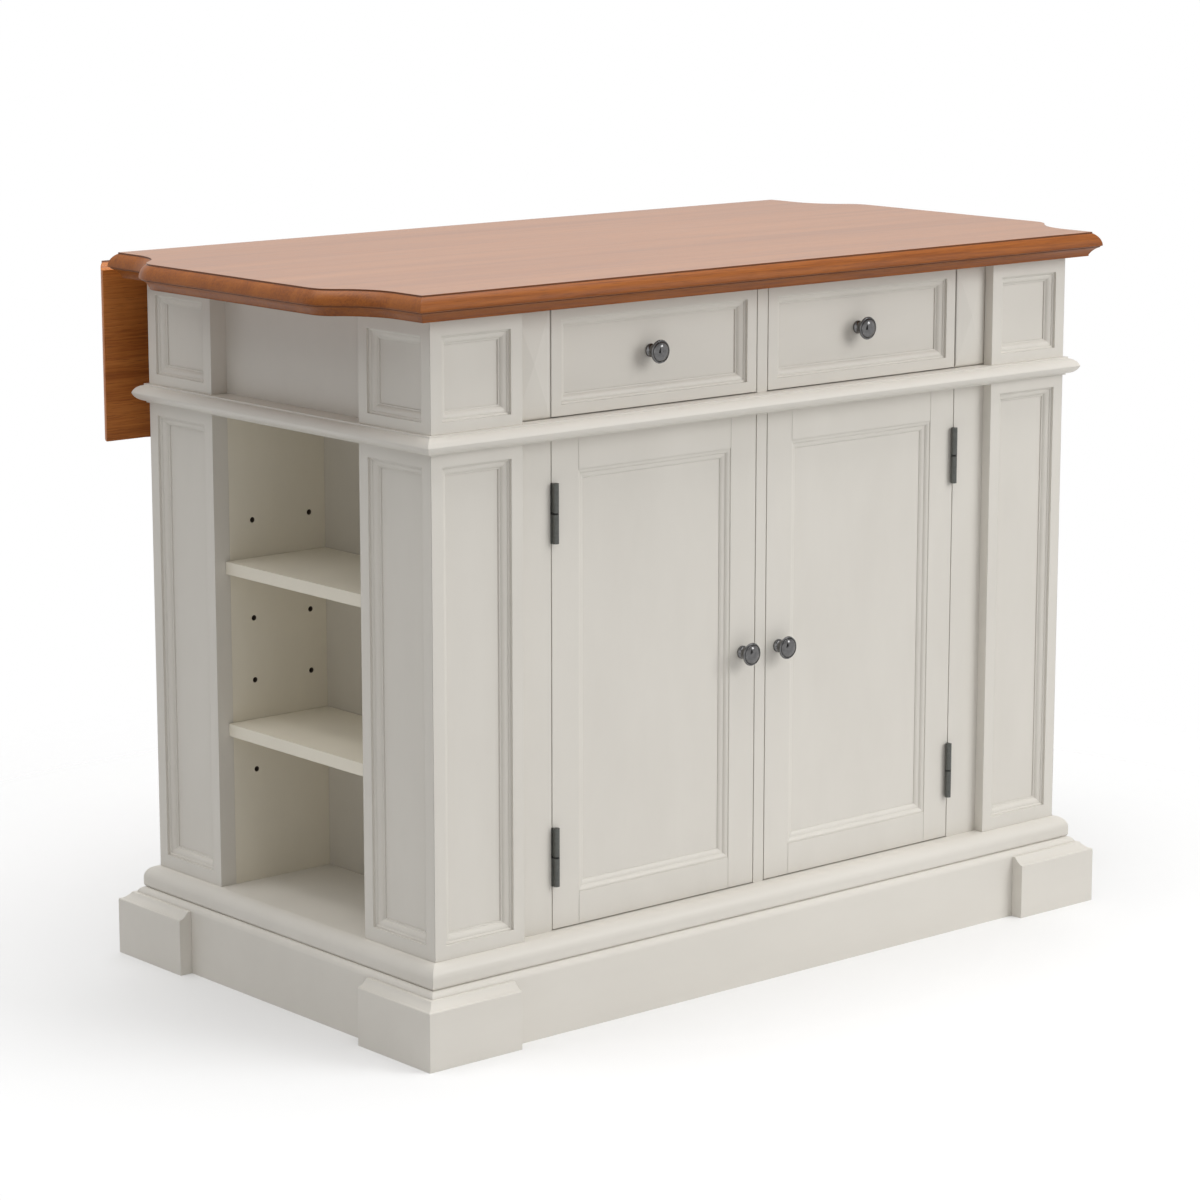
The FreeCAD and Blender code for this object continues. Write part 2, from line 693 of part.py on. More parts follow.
def make_top():
    """The countertop board, and the edge layer of four mitred strips under it."""
    low = top_z - top_board_thick
    start = (-strip_inner, 0.0)
    profile = [(0.0, 0.0), (0.0, ovolo_start[1]), ovolo_start, (ovolo_mid, ovolo_foot),
               (edge_nose, seam_land - top_board_thick), (layer_top[0], seam_quirk[1] - top_board_thick),
               layer_top, (-strip_inner, -top_board_thick)]
    keep("countertop_board", [moulded_top(start, profile, low, top_z)])

    start = (-strip_inner, -top_board_thick)
    profile = [layer_top, (layer_mid, layer_foot), (layer_foot[0], case_top - top_z),
               (-strip_inner, case_top - top_z)]
    layer = moulded_top(start, profile, case_top, low)
    layer = layer.cut(box(-end_panel_in, end_panel_in, -rear_inner, rear_inner, case_top - 1, low + 1))
    for side in ("front", "rear", "left", "right"):
        quarter = mitred_quarter(side, top_corner_x, top_corner_y, case_top - 1, low + 1)
        keep("countertop_edge_layer", [layer.common(quarter)])

    low_z = low - cleat_height
    side = box(-end_panel_in, -end_panel_in + board_thick, -cleat_half, cleat_half, low_z, low)
    keep("top_fixing_cleats", both_sides(side))
    rear = box(-3 * cleat_half, -cleat_half, rear_inner - board_thick, rear_inner, low_z, low)
    keep("top_fixing_cleats", both_sides(rear))


def hang(shape):
    """Swing a piece of the leaf from level to hanging, about the hinge pin."""
    turned = shape.copy()
    turned.rotate(Vector(0, leaf_pin_y, leaf_pin_z), Vector(1, 0, 0), -leaf_fall_angle)
    return turned


def make_leaf():
    """The drop leaf, made level beside the top and swung down to where it hangs."""
    joint_y = top_corner_y + joint_gap
    near_y = joint_y - run_over
    far_y = joint_y + leaf_reach
    depth = far_y - near_y
    low = top_z - leaf_thick
    start = (-strip_inner, 0.0)
    profile = [(0.0, 0.0), (0.0, ovolo_start[1]), ovolo_start, (ovolo_mid, ovolo_foot),
               (edge_nose, -leaf_thick), (-strip_inner, -leaf_thick)]
    far_run = swept_run(start, profile, Vector(top_corner_x + run_over, far_y, top_z), math.pi,
                        swell_segments(2 * top_corner_x))
    wide, narrow = top_corner_x + mitre_out, top_corner_x - depth
    wedge = [Vector(wide, far_y + mitre_out, 0), Vector(narrow, near_y, 0), Vector(-narrow, near_y, 0),
             Vector(-wide, far_y + mitre_out, 0)]
    region = Part.Face(Part.makePolygon(wedge + [wedge[0]])).extrude(Vector(0, 0, 2 * overall_height))
    solids = [solid.common(region) for solid in far_run]
    end_run = swept_run(start, profile, Vector(top_corner_x, near_y, top_z), math.pi / 2,
                        [("line", depth + run_over)])
    for solid in end_run:
        cut = solid.cut(region)
        solids += [cut, mirror_x(cut)]
    first, steps = swell_outline(top_corner_x, depth)
    plate = outline_face(first, steps, lambda u, v: Vector(u, v + far_y, low))
    leaf = plate.extrude(Vector(0, 0, leaf_thick)).multiFuse(solids).removeSplitter()

    # the hinge edge is hollowed to go over the rear moulding of the top
    centre, radius = circle_through(ovolo_start, ovolo_mid, ovolo_foot)
    cove = radius + joint_gap
    cove_top = (joint_gap, centre[1] + math.sqrt(cove ** 2 - (joint_gap - centre[0]) ** 2))
    cove_foot = (centre[0] + math.sqrt(cove ** 2 - (ovolo_foot[1] - centre[1]) ** 2), ovolo_foot[1])
    bend = (math.atan2(cove_top[1] - centre[1], cove_top[0] - centre[0])
            + math.atan2(cove_foot[1] - centre[1], cove_foot[0] - centre[0])) / 2
    cove_mid = (centre[0] + cove * math.cos(bend), centre[1] + cove * math.sin(bend))
    spots = [(top_corner_y + u, top_z + v) for u, v in (cove_top, cove_mid, cove_foot)]
    tool_start = (near_y - 5, top_z + 1)
    tool_steps = [(joint_y, top_z + 1), spots[0], (spots[1], spots[2]), (spots[2][0], low - 1),
                  (near_y - 5, low - 1)]
    tool = outline_face(tool_start, tool_steps, lambda u, v: Vector(-reach_all / 2, u, v))
    return leaf.cut(tool.extrude(Vector(reach_all, 0, 0)))


def make_leaf_hinges():
    """Three cranked hinges: fixed plate, leaf plate and pin, with countersunk screws."""
    third = leaf_hinge_length / 3
    low = top_z - leaf_thick
    fixed_y = top_corner_y + layer_foot[0] - leaf_plate_run
    screws_fixed, screws_leaf = [], []
    for x in leaf_hinge_x:
        x0, x1 = x - leaf_hinge_length / 2, x + leaf_hinge_length / 2
        pin = bar(leaf_pin_radius, Vector(x0, leaf_pin_y, leaf_pin_z), Vector(x1, leaf_pin_y, leaf_pin_z))
        bore = bar(leaf_pin_radius + pin_clearance, Vector(x0 - 1, leaf_pin_y, leaf_pin_z),
                   Vector(x1 + 1, leaf_pin_y, leaf_pin_z))
        plate = box(x0, x1, fixed_y, fixed_y + leaf_plate_run, case_top - leaf_plate_thick, case_top)
        neck_from = top_corner_y + layer_foot[0]
        neck = outline_face((neck_from - 1, case_top - leaf_plate_thick),
                            [(neck_from + leaf_neck_out, case_top - leaf_plate_thick),
                             (leaf_pin_y, leaf_pin_z - leaf_barrel_radius),
                             (leaf_pin_y - leaf_neck_meet[0], leaf_pin_z + leaf_neck_meet[1]),
                             (neck_from, case_top),
                             (neck_from - 1, case_top)], lambda u, v: Vector(x0, u, v))
        neck = neck.extrude(Vector(leaf_hinge_length, 0, 0))
        barrel = bar(leaf_barrel_radius, Vector(x0, leaf_pin_y, leaf_pin_z), Vector(x1, leaf_pin_y, leaf_pin_z))
        gap_space = box(x0 + third - knuckle_gap, x1 - third + knuckle_gap, neck_from + leaf_neck_out / 2,
                        leaf_back, leaf_pin_z - 2 * leaf_barrel_radius, top_z)
        fixed = plate.fuse(neck).fuse(barrel).cut(gap_space).cut(bore)

        knuckle = bar(leaf_barrel_radius, Vector(x0 + third, leaf_pin_y, leaf_pin_z),
                      Vector(x1 - third, leaf_pin_y, leaf_pin_z))
        leg = box(x0 + third, x1 - third, leaf_pin_y, leaf_pin_y + leaf_barrel_radius, leaf_pin_z, low)
        blade = box(x0, x1, leaf_pin_y, leaf_pin_y + leaf_plate_run, low - leaf_plate_thick, low)
        moving = knuckle.fuse(leg).fuse(blade).cut(bore)
        for screw_x in (x - leaf_screw_spread, x + leaf_screw_spread):
            for run in leaf_screw_runs:
                spot = Vector(screw_x, fixed_y + run, case_top - leaf_plate_thick)
                screws_fixed.append(screw(spot, Vector(0, 0, 1)))
                spot = Vector(screw_x, leaf_pin_y + leaf_plate_run - run, low - leaf_plate_thick)
                screws_leaf.append(screw(spot, Vector(0, 0, 1)))
        keep("leaf_hinge_pins", [pin])
        keep("leaf_hinge_top_plates", [fixed])
        keep("leaf_hinge_leaf_plates", [moving])
    return screws_fixed, screws_leaf


def make_stays():
    """Folding stays: bracket on the back rail, pivot pin, arm with its roller, and track under the leaf."""
    low = top_z - leaf_thick
    pivot_z = leaf_pin_z - stay_drop
    roller_z = pivot_z - stay_length
    x = stay_x
    arm_x = x - stay_offset - stay_arm_thick
    arm_end = arm_x + stay_arm_thick
    lug_x = arm_x - knuckle_gap - bracket_thick

    plate = box(x - bracket_width / 2, x + bracket_width / 2, rear_face, rear_face + bracket_thick,
                pivot_z - bracket_height / 2, pivot_z + bracket_height / 2)
    web = outline_face((rear_face, pivot_z - bracket_web_half),
                       [(leaf_pin_y, pivot_z - lug_radius), (leaf_pin_y, pivot_z + lug_radius),
                        (rear_face, pivot_z + bracket_web_half)], lambda u, v: Vector(lug_x, u, v))
    web = web.extrude(Vector(bracket_thick, 0, 0))
    eye = bar(lug_radius, Vector(lug_x, leaf_pin_y, pivot_z), Vector(lug_x + bracket_thick, leaf_pin_y, pivot_z))
    bore = bar(stay_pin_radius, Vector(lug_x - 1, leaf_pin_y, pivot_z),
               Vector(lug_x + bracket_thick, leaf_pin_y, pivot_z))
    bracket = plate.fuse(web).fuse(eye).cut(bore)

    outer_head, inner_head = lug_x - stay_head_thick, arm_end + knuckle_gap
    pin = bar(stay_pin_radius, Vector(outer_head, leaf_pin_y, pivot_z), Vector(inner_head, leaf_pin_y, pivot_z))
    for start in (outer_head, inner_head):
        pin = pin.fuse(bar(stay_head_radius, Vector(start, leaf_pin_y, pivot_z),
                           Vector(start + stay_head_thick, leaf_pin_y, pivot_z)))

    half = stay_arm_width / 2
    arm = box(arm_x, arm_end, leaf_pin_y - half, leaf_pin_y + half, roller_z, pivot_z)
    for z in (roller_z, pivot_z):
        arm = arm.fuse(bar(half, Vector(arm_x, leaf_pin_y, z), Vector(arm_end, leaf_pin_y, z)))
    arm = arm.cut(bar(stay_pin_radius + pin_clearance, Vector(arm_x - 1, leaf_pin_y, pivot_z),
                      Vector(arm_end + 1, leaf_pin_y, pivot_z)))
    roller_x = arm_end + roller_play
    roller_end = roller_x + stay_roller_width
    stud = bar(stay_pin_radius, Vector(arm_x, leaf_pin_y, roller_z), Vector(roller_end, leaf_pin_y, roller_z))
    arm = arm.fuse(stud)
    roller = bar(stay_roller_radius, Vector(roller_x, leaf_pin_y, roller_z),
                 Vector(roller_end, leaf_pin_y, roller_z))
    roller = roller.cut(bar(stay_pin_radius + pin_clearance, Vector(arm_x, leaf_pin_y, roller_z),
                            Vector(roller_end + 1, leaf_pin_y, roller_z)))

    inner = track_inner / 2
    y0, y1 = leaf_pin_y + track_start, leaf_pin_y + track_end
    track = box(x - inner - track_wall, x + inner + track_wall, y0, y1, low - track_height, low)
    track = track.cut(box(x - inner, x + inner, y0 - 1, y1 + 1, low - track_height - 1, low - track_wall))
    screws_leaf = [screw(Vector(x, y, low - track_wall), Vector(0, 0, 1))
                   for y in (y0 + track_screw_end, y1 - track_screw_end)]
    screws_fixed = []
    for dz in (-bracket_screws[1], bracket_screws[1]):
        for dx in (-bracket_screws[0], bracket_screws[0]):
            spot = Vector(x + dx, rear_face + bracket_thick, pivot_z + dz)
            screws_fixed.append(screw(spot, Vector(0, -1, 0)))

    keep("stay_brackets", both_sides(bracket))
    keep("stay_pivot_pins", both_sides(pin))
    keep("stay_tracks", both_sides(track))
    keep("left_stay_arm", [arm, roller])
    keep("right_stay_arm", [mirror_x(arm), mirror_x(roller)])
    screws_fixed += [mirror_x(item) for item in screws_fixed]
    screws_leaf += [mirror_x(item) for item in screws_leaf]
    return screws_fixed, screws_leaf


def let_in_hardware(hardware, hosts):
    """Cut each host for the screws or hinge leaves that go into it."""
    for host in hosts:
        cut_out = []
        for solid in pieces[host]:
            for item in hardware:
                if solid.BoundBox.intersect(item.BoundBox):
                    solid = solid.cut(item)
            cut_out.append(solid)
        pieces[host] = cut_out


def make_leaf_group():
    """The leaf with its hinges, stays and screws, hanging at rest."""
    keep("drop_leaf", [make_leaf()])
    hinge_fixed, hinge_leaf = make_leaf_hinges()
    stay_fixed, stay_leaf = make_stays()
    keep("fixed_hardware_screws", hinge_fixed + stay_fixed)
    keep("leaf_hardware_screws", hinge_leaf + stay_leaf)
    let_in_hardware(hinge_fixed + stay_fixed,
                ("leaf_hinge_top_plates", "countertop_edge_layer", "stay_brackets", "back_rail"))
    let_in_hardware(hinge_leaf + stay_leaf, ("leaf_hinge_leaf_plates", "stay_tracks", "drop_leaf"))
    for name in ("drop_leaf", "leaf_hinge_leaf_plates", "stay_tracks", "leaf_hardware_screws"):
        pieces[name] = [hang(solid) for solid in pieces[name]]


# ============================================================================ doors
def knob(base, thread_into):
    """A turned mushroom knob standing towards -Y, and the machine screw that holds it from behind."""
    head_low = knob_projection - knob_head_thick
    rim_face = head_low + knob_edge + (knob_radius - knob_stem_radius) / 4
    rim_back = rim_face - knob_edge
    crown_width = knob_radius - knob_rim
    crown_foot = rim_face + knob_crown_step
    rise = knob_projection - crown_foot
    crown = (crown_width ** 2 + rise ** 2) / (2 * rise)
    lean = math.asin(crown_width / crown) / 2
    crown_mid = (crown * math.sin(lean), knob_projection - crown * (1 - math.cos(lean)))
    foot = (knob_foot_radius, knob_foot_thick)
    waist = (knob_stem_radius, knob_foot_thick + 2 * knob_flare)
    neck = (knob_stem_radius, head_low - knob_flare)
    back = (knob_radius - knob_edge / 2, rim_back)
    rim = (knob_radius - knob_edge / 2, rim_face)
    profile = outline_face(
        (0.0, 0.0),
        [(knob_foot_radius, 0.0), foot, (bulge(foot, waist, -knob_flare / 3), waist), neck,
         (bulge(neck, back, -knob_flare / 2), back), (bulge(back, rim, knob_edge / 2), rim),
         (crown_width, rim_face), (crown_width, crown_foot), (crown_mid, (0.0, knob_projection))],
        lambda u, v: Vector(u, -v, 0))
    turned = profile.revolve(Vector(0, 0, 0), Vector(0, 1, 0), 360)
    turned.translate(base)
    back_face = base + Vector(0, thread_into, 0)
    thread = bar(machine_screw_radius, base - Vector(0, machine_grip, 0), back_face)
    pan = bar(machine_head_radius, back_face, back_face + Vector(0, machine_head_thick, 0))
    fixing = thread.fuse(pan)
    return turned.cut(fixing), fixing


def door_hinge_parts(z):
    """Left hand butt hinge at a height: frame leaf with the lower knuckle, door leaf with the upper, pin, screws."""
    low, high = z - door_hinge_length / 2, z + door_hinge_length / 2
    lower_top, upper_foot = z - door_knuckle_gap / 2, z + door_knuckle_gap / 2
    px, py = -door_pin_x, frame_front - door_pin_out
    bore = bar(door_pin_radius + pin_clearance, Vector(px, py, low - 5), Vector(px, py, high + 5))
    edge_x = -opening_half
    door_x = -opening_half + door_gap
    let_in = door_leaf_thick / 2
    frame_leaf = box(edge_x - let_in, edge_x + let_in, frame_front, frame_front + door_leaf_depth, low, high)
    knuckle = bar(door_barrel_radius, Vector(px, py, low), Vector(px, py, lower_top))
    web_y0, web_y1 = frame_front - door_web[0], frame_front - door_web[1]
    web = box(edge_x, px, web_y0, web_y1, low, lower_top)
    riser = box(edge_x - let_in, edge_x + let_in, web_y0, frame_front, low, lower_top)
    fixed = frame_leaf.fuse(riser).fuse(web).fuse(knuckle).cut(bore)
    door_leaf = box(door_x - let_in, door_x + let_in, frame_front, frame_front + door_leaf_depth, low, high)
    upper = bar(door_barrel_radius, Vector(px, py, upper_foot), Vector(px, py, high))
    riser = box(door_x - let_in, door_x + 2 * let_in, web_y0, frame_front, upper_foot, high)
    moving = door_leaf.fuse(riser).fuse(upper).cut(bore)
    pin = bar(door_pin_radius, Vector(px, py, low), Vector(px, py, high))
    frame_screws, door_screws = [], []
    for depth, along in door_hinge_screws:
        y = frame_front + depth
        frame_screws.append(screw(Vector(edge_x + let_in, y, z + along), Vector(-1, 0, 0)))
        door_screws.append(screw(Vector(door_x - let_in, y, z + along), Vector(1, 0, 0)))
    return fixed, moving, pin, frame_screws, door_screws


def make_doors():
    """Left door as made on the bench, and its mirror image; hinges, knobs, strikes and catches."""
    x0, x1 = -opening_half + door_gap, -centre_stile / 2 - door_gap
    z0, z1 = floor_z + door_gap, waist_underside - door_gap
    y0, y1 = frame_front, frame_back
    in_x0, in_x1 = x0 + door_stile, x1 - door_stile
    in_z0, in_z1 = z0 + door_rail, z1 - door_rail
    tongue = door_panel_tongue
    panel_y = y0 + door_panel_depth
    panel = box(in_x0 - tongue, in_x1 + tongue, panel_y, panel_y + door_panel_thick, in_z0 - tongue,
                in_z1 + tongue)
    frame = [box(x0, in_x0, y0, y1, z0, z1), box(in_x1, x1, y0, y1, z0, z1),
             box(in_x0, in_x1, y0, y1, z0, in_z0), box(in_x0, in_x1, y0, y1, in_z1, z1)]
    frame = [piece.cut(panel) for piece in frame]
    for joint_x in (in_x0, in_x1):
        vee = [Vector(joint_x - 2 * joint_groove, y0 - joint_groove, z0 - 1),
               Vector(joint_x + 2 * joint_groove, y0 - joint_groove, z0 - 1),
               Vector(joint_x, y0 + joint_groove, z0 - 1)]
        tool = Part.Face(Part.makePolygon(vee + [vee[0]])).extrude(Vector(0, 0, z1 - z0 + 2))
        frame = [piece.cut(tool) for piece in frame]

    width, height = in_x1 - in_x0, in_z1 - in_z0
    ring = box(-width / 2, width / 2, 0.6, door_panel_depth, -height / 2, height / 2)
    ring = ring.cut(box(-width / 2 + door_moulding, width / 2 - door_moulding, 0, door_panel_depth + 1,
                        -height / 2 + door_moulding, height / 2 - door_moulding))
    ring = ring.cut(recess_tool(width, height, door_profile))
    strips = []
    for side in ("left", "right", "front", "rear"):
        region = mitred_quarter(side, height / 2, width / 2, -10.0, 30.0)
        # the region is drawn flat, then stood up against the door
        region.rotate(Vector(0, 0, 0), Vector(0, 0, 1), 90)
        region.rotate(Vector(0, 0, 0), Vector(1, 0, 0), 90)
        region.translate(Vector(0, 20.0, 0))
        strips.append(ring.common(region))
    for strip in strips:
        strip.translate(Vector((in_x0 + in_x1) / 2, y0, (in_z0 + in_z1) / 2))

    knob_base = Vector(x1 - door_stile / 2, y0, floor_z + knob_rise)
    head, fixing = knob(knob_base, frame_thick)
    frame[1] = frame[1].cut(fixing)

    hinge_fixed, hinge_moving, pins, frame_screws, door_screws = [], [], [], [], []
    for z in door_hinge_heights:
        fixed, moving, pin, to_frame, to_door = door_hinge_parts(z)
        hinge_fixed.append(fixed)
        hinge_moving.append(moving)
        pins.append(pin)
        frame_screws += to_frame
        door_screws += to_door
        frame[0] = frame[0].cut(moving)

    strike_y = y1 + strike_size[1]
    strike_z = z1 - strike_drop
    magnet_y = strike_y + catch_gap
    strike = box(-catch_x - strike_size[0] / 2, -catch_x + strike_size[0] / 2, y1, strike_y,
                 strike_z - strike_size[2], strike_z)
    magnet = box(-catch_x - magnet_size[0] / 2, -catch_x + magnet_size[0] / 2, magnet_y,
                 magnet_y + magnet_size[1], waist_underside - magnet_size[2] - catch_drop, waist_underside)

    left = {"door_frame": frame, "door_moulding": strips, "door_panel": [panel], "door_knob": [head, fixing],
            "door_hinge_leaves": hinge_moving, "door_hinge_screws": door_screws, "door_strike": [strike]}
    for name, solids in left.items():
        keep("left_" + name, solids)
        keep("right_" + name, [mirror_x(solid) for solid in solids])
    for solid in hinge_fixed:
        keep("door_hinge_frame_leaves", both_sides(solid))
    let_in_hardware(pieces["door_hinge_frame_leaves"], ["front_frame_stiles"])
    for item in frame_screws:
        keep("fixed_hardware_screws", both_sides(item))
    let_in_hardware(pieces["fixed_hardware_screws"], ["door_hinge_frame_leaves", "front_frame_stiles"])
    for side in ("left_", "right_"):
        let_in_hardware(pieces[side + "door_hinge_screws"], [side + "door_hinge_leaves", side + "door_frame"])
    for solid in pins:
        keep("door_hinge_pins", both_sides(solid))
    keep("door_catches", both_sides(magnet))


# ============================================================================ drawers
def slide_channel(x, web_at, height, depth, wall, y0, y1):
    """A thin C section along Y: the web stands at x and the flanges point the way that web_at says."""
    half = height / 2
    x0, x1 = sorted((x, x + web_at * depth))
    outer = box(x0, x1, y0, y1, slide_centre - half, slide_centre + half)
    hx0, hx1 = sorted((x + web_at * wall, x + web_at * (depth + 1)))
    return outer.cut(box(hx0, hx1, y0 - 1, y1 + 1, slide_centre - half + wall, slide_centre + half - wall))


def make_drawers():
    """Left drawer and its mirror image: moulded front, box, bottom, knob, and the slides that carry it."""
    x0, x1 = -opening_half + door_gap, -centre_stile / 2 - door_gap
    z0, z1 = waist_top + door_gap, case_top - door_gap
    y0 = frame_front
    front = box(x0, x1, y0, y0 + drawer_front_thick, z0, z1)
    panel_low, panel_high = z0 + drawer_panel_foot, z1 - drawer_panel_head
    tool = panel_tool(x1 - x0 - 2 * drawer_panel_margin, panel_high - panel_low)
    tool.translate(Vector((x0 + x1) / 2, y0, (panel_low + panel_high) / 2))
    front = front.cut(tool)

    bx0, bx1 = -partition_in + slide_space, -board_thick / 2 - slide_space
    by0 = y0 + drawer_front_thick
    by1 = by0 + drawer_box_length
    t = drawer_side_thick
    bottom_z = drawer_box_low + drawer_bottom_raise
    bottom = box(bx0 + t - groove_depth, bx1 - t + groove_depth, by0, by1 - t + groove_depth,
                 bottom_z, bottom_z + drawer_bottom_thick)
    walls = [box(bx0, bx0 + t, by0, by1, drawer_box_low, drawer_box_high),
             box(bx1 - t, bx1, by0, by1, drawer_box_low, drawer_box_high),
             box(bx0 + t, bx1 - t, by1 - t, by1, drawer_box_low, drawer_box_high)]
    walls = [wall.cut(bottom) for wall in walls]
    knob_base = Vector((x0 + x1) / 2, y0 + panel_depth, (panel_low + panel_high) / 2)
    head, fixing = knob(knob_base, drawer_front_thick - panel_depth)
    front = front.cut(fixing)

    start = by0 + slide_start
    end = start + slide_length
    inner_height = slide_height - 2 * slide_wall - 2 * slide_clearance
    outer_depth = slide_space - slide_wall - slide_clearance
    frame_lip = partition_in - opening_half
    fixed, moving = [], []
    for panel_x, box_x, way in ((-partition_in, bx0, 1), (-board_thick / 2, bx1, -1)):
        fixed.append(slide_channel(panel_x, way, slide_height, outer_depth, slide_wall, start, end))
        moving.append(slide_channel(box_x, -way, inner_height, slide_space - frame_lip - slide_clearance,
                                    slide_wall, start, end))

    left = {"drawer_front": [front], "drawer_box": walls + [bottom], "drawer_knob": [head, fixing],
            "drawer_slides": moving}
    for name, solids in left.items():
        keep("left_" + name, solids)
        keep("right_" + name, [mirror_x(solid) for solid in solids])
    for solid in fixed:
        keep("drawer_slide_channels", both_sides(solid))


# ============================================================================ build and write
make_plinth()
make_case_boards()
make_posts()
make_bays()
make_frame()
make_top()
make_leaf_group()
make_doors()
make_drawers()

os.makedirs("parts", exist_ok=True)
for node, solids in pieces.items():
    loose = [solid for shape in solids for solid in shape.Solids]
    group = Part.makeCompound(loose) if len(loose) > 1 else loose[0]
    group.translate(Vector(0, -middle_of_depth, 0))
    group.exportStep("parts/%s.step" % node)
    volume = sum(solid.Volume for solid in loose) / 1000.0
    print("%-26s %3d solids %10.1f cm3 valid %s" % (node, len(loose), volume, group.isValid()))
print(len(pieces), "nodes; middle of depth", middle_of_depth)
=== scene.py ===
import math

import bpy
from mathutils import Matrix, Vector


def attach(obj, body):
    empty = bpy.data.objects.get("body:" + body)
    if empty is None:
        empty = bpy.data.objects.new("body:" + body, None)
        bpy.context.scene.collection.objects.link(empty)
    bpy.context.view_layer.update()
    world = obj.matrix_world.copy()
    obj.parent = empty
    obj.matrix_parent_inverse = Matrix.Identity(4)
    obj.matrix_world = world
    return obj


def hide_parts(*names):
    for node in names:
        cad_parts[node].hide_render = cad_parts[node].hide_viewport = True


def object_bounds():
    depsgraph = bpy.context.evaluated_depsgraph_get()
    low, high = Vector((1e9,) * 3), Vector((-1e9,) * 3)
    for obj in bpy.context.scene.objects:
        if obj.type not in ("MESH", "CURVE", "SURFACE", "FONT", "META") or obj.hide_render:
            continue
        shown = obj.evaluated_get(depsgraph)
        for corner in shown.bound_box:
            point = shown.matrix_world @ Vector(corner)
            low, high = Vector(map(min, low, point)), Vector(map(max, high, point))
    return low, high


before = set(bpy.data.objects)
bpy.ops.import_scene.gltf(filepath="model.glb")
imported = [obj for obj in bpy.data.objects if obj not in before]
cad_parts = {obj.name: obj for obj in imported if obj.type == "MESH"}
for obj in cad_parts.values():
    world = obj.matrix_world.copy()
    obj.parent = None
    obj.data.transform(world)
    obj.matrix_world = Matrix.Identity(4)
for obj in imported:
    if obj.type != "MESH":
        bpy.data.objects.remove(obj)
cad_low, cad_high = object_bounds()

# ------------------------------------------------------------------ painted case boards
# The case is made of boards sprayed with one antique white lacquer. The partitions and drawer
# dividers are drawn darker, which is painted shade, and the bays paler and warmer, which is painted
# light. It is satin, leaves every arris slightly rounded, and lets the grain of the board under it
# show as faint long ridges that run the length of each board.
PAINT_LIGHT = (0.706, 0.674, 0.616)
PAINT_DARK = (0.666, 0.634, 0.577)
INSIDE_PAINTED_SHADE = (0.92, 0.91, 0.88)   # painted shade: the partitions and drawer dividers are drawn darker
BAY_PAINTED_LIGHT = (1.14, 1.12, 1.04)      # painted light: bay walls, bay shelves and centre shelf drawn paler, warmer
PAINT_ARRIS = 0.0011            # radius of the rounded arrises under the lacquer, in metres
RIDGE_PITCH = 1100.0            # ridges of the grain, per metre across it
RIDGE_STRETCH = 26.0            # a ridge is this many times longer than it is wide
RIDGE_DEPTH = 0.00004           # in metres, as are the depths of all the bumps
SPRAY_PITCH = 420.0             # orange peel of the sprayed coat, per metre
SPRAY_DEPTH = 0.00005
CLOUD_PITCH = (9.0, 3.0)        # broad clouds in the coat, per metre across and along the grain


def shader_node(tree, kind, x, y, **settings):
    """Add a shader node at a place in the editor and set its plain properties."""
    node = tree.nodes.new(kind)
    node.location = (x, y)
    for key, value in settings.items():
        setattr(node, key, value)
    return node


def new_finish(name):
    """An empty material with its surface shader."""
    material = bpy.data.materials.new(name)
    material.use_nodes = True
    return material, material.node_tree, material.node_tree.nodes["Principled BSDF"]


def along_axis(axis, across, along):
    """Scales for a pattern drawn out along one axis."""
    return [along if letter == axis else across for letter in "XYZ"]


def noise(tree, scale, detail, roughness, x, y, distortion=0.0):
    """A fractal noise over the object, scaled by its own amount along each axis."""
    place = shader_node(tree, "ShaderNodeTexCoord", x - 600, y)
    mapping = shader_node(tree, "ShaderNodeMapping", x - 400, y)
    mapping.inputs["Scale"].default_value = scale
    tree.links.new(place.outputs["Object"], mapping.inputs["Vector"])
    texture = shader_node(tree, "ShaderNodeTexNoise", x, y)
    texture.inputs["Scale"].default_value = 1.0
    texture.inputs["Detail"].default_value = detail
    texture.inputs["Roughness"].default_value = roughness
    texture.inputs["Distortion"].default_value = distortion
    tree.links.new(mapping.outputs["Vector"], texture.inputs["Vector"])
    return texture.outputs["Fac"]


def tinted(tree, value, stops, x, y):
    """A colour ramp over a value; stops lists (position, colour)."""
    ramp = shader_node(tree, "ShaderNodeValToRGB", x, y)
    while len(ramp.color_ramp.elements) < len(stops):
        ramp.color_ramp.elements.new(0.5)
    for element, (position, colour) in zip(ramp.color_ramp.elements, stops):
        element.position = position
        element.color = tuple(colour) + (1.0,)
    tree.links.new(value, ramp.inputs["Fac"])
    return ramp.outputs["Color"]


def ranged(tree, value, seen, wanted, x, y):
    """A value moved from the range it is seen in to the one that is wanted."""
    spread = shader_node(tree, "ShaderNodeMapRange", x, y)
    spread.inputs["From Min"].default_value, spread.inputs["From Max"].default_value = seen
    spread.inputs["To Min"].default_value, spread.inputs["To Max"].default_value = wanted
    tree.links.new(value, spread.inputs["Value"])
    return spread.outputs["Result"]


def raised(tree, height, depth, strength, x, y, under=None):
    """A bump of a real depth in metres, over the surface or over another bump."""
    bump = shader_node(tree, "ShaderNodeBump", x, y)
    bump.inputs["Strength"].default_value = strength
    bump.inputs["Distance"].default_value = depth
    tree.links.new(height, bump.inputs["Height"])
    if under is not None:
        tree.links.new(under, bump.inputs["Normal"])
    return bump.outputs["Normal"]


def rounded_arris(tree, radius, x, y):
    """Normals that turn smoothly over an edge, as on a sanded and lacquered board."""
    arris = shader_node(tree, "ShaderNodeBevel", x, y, samples=6)
    arris.inputs["Radius"].default_value = radius
    return arris.outputs["Normal"]


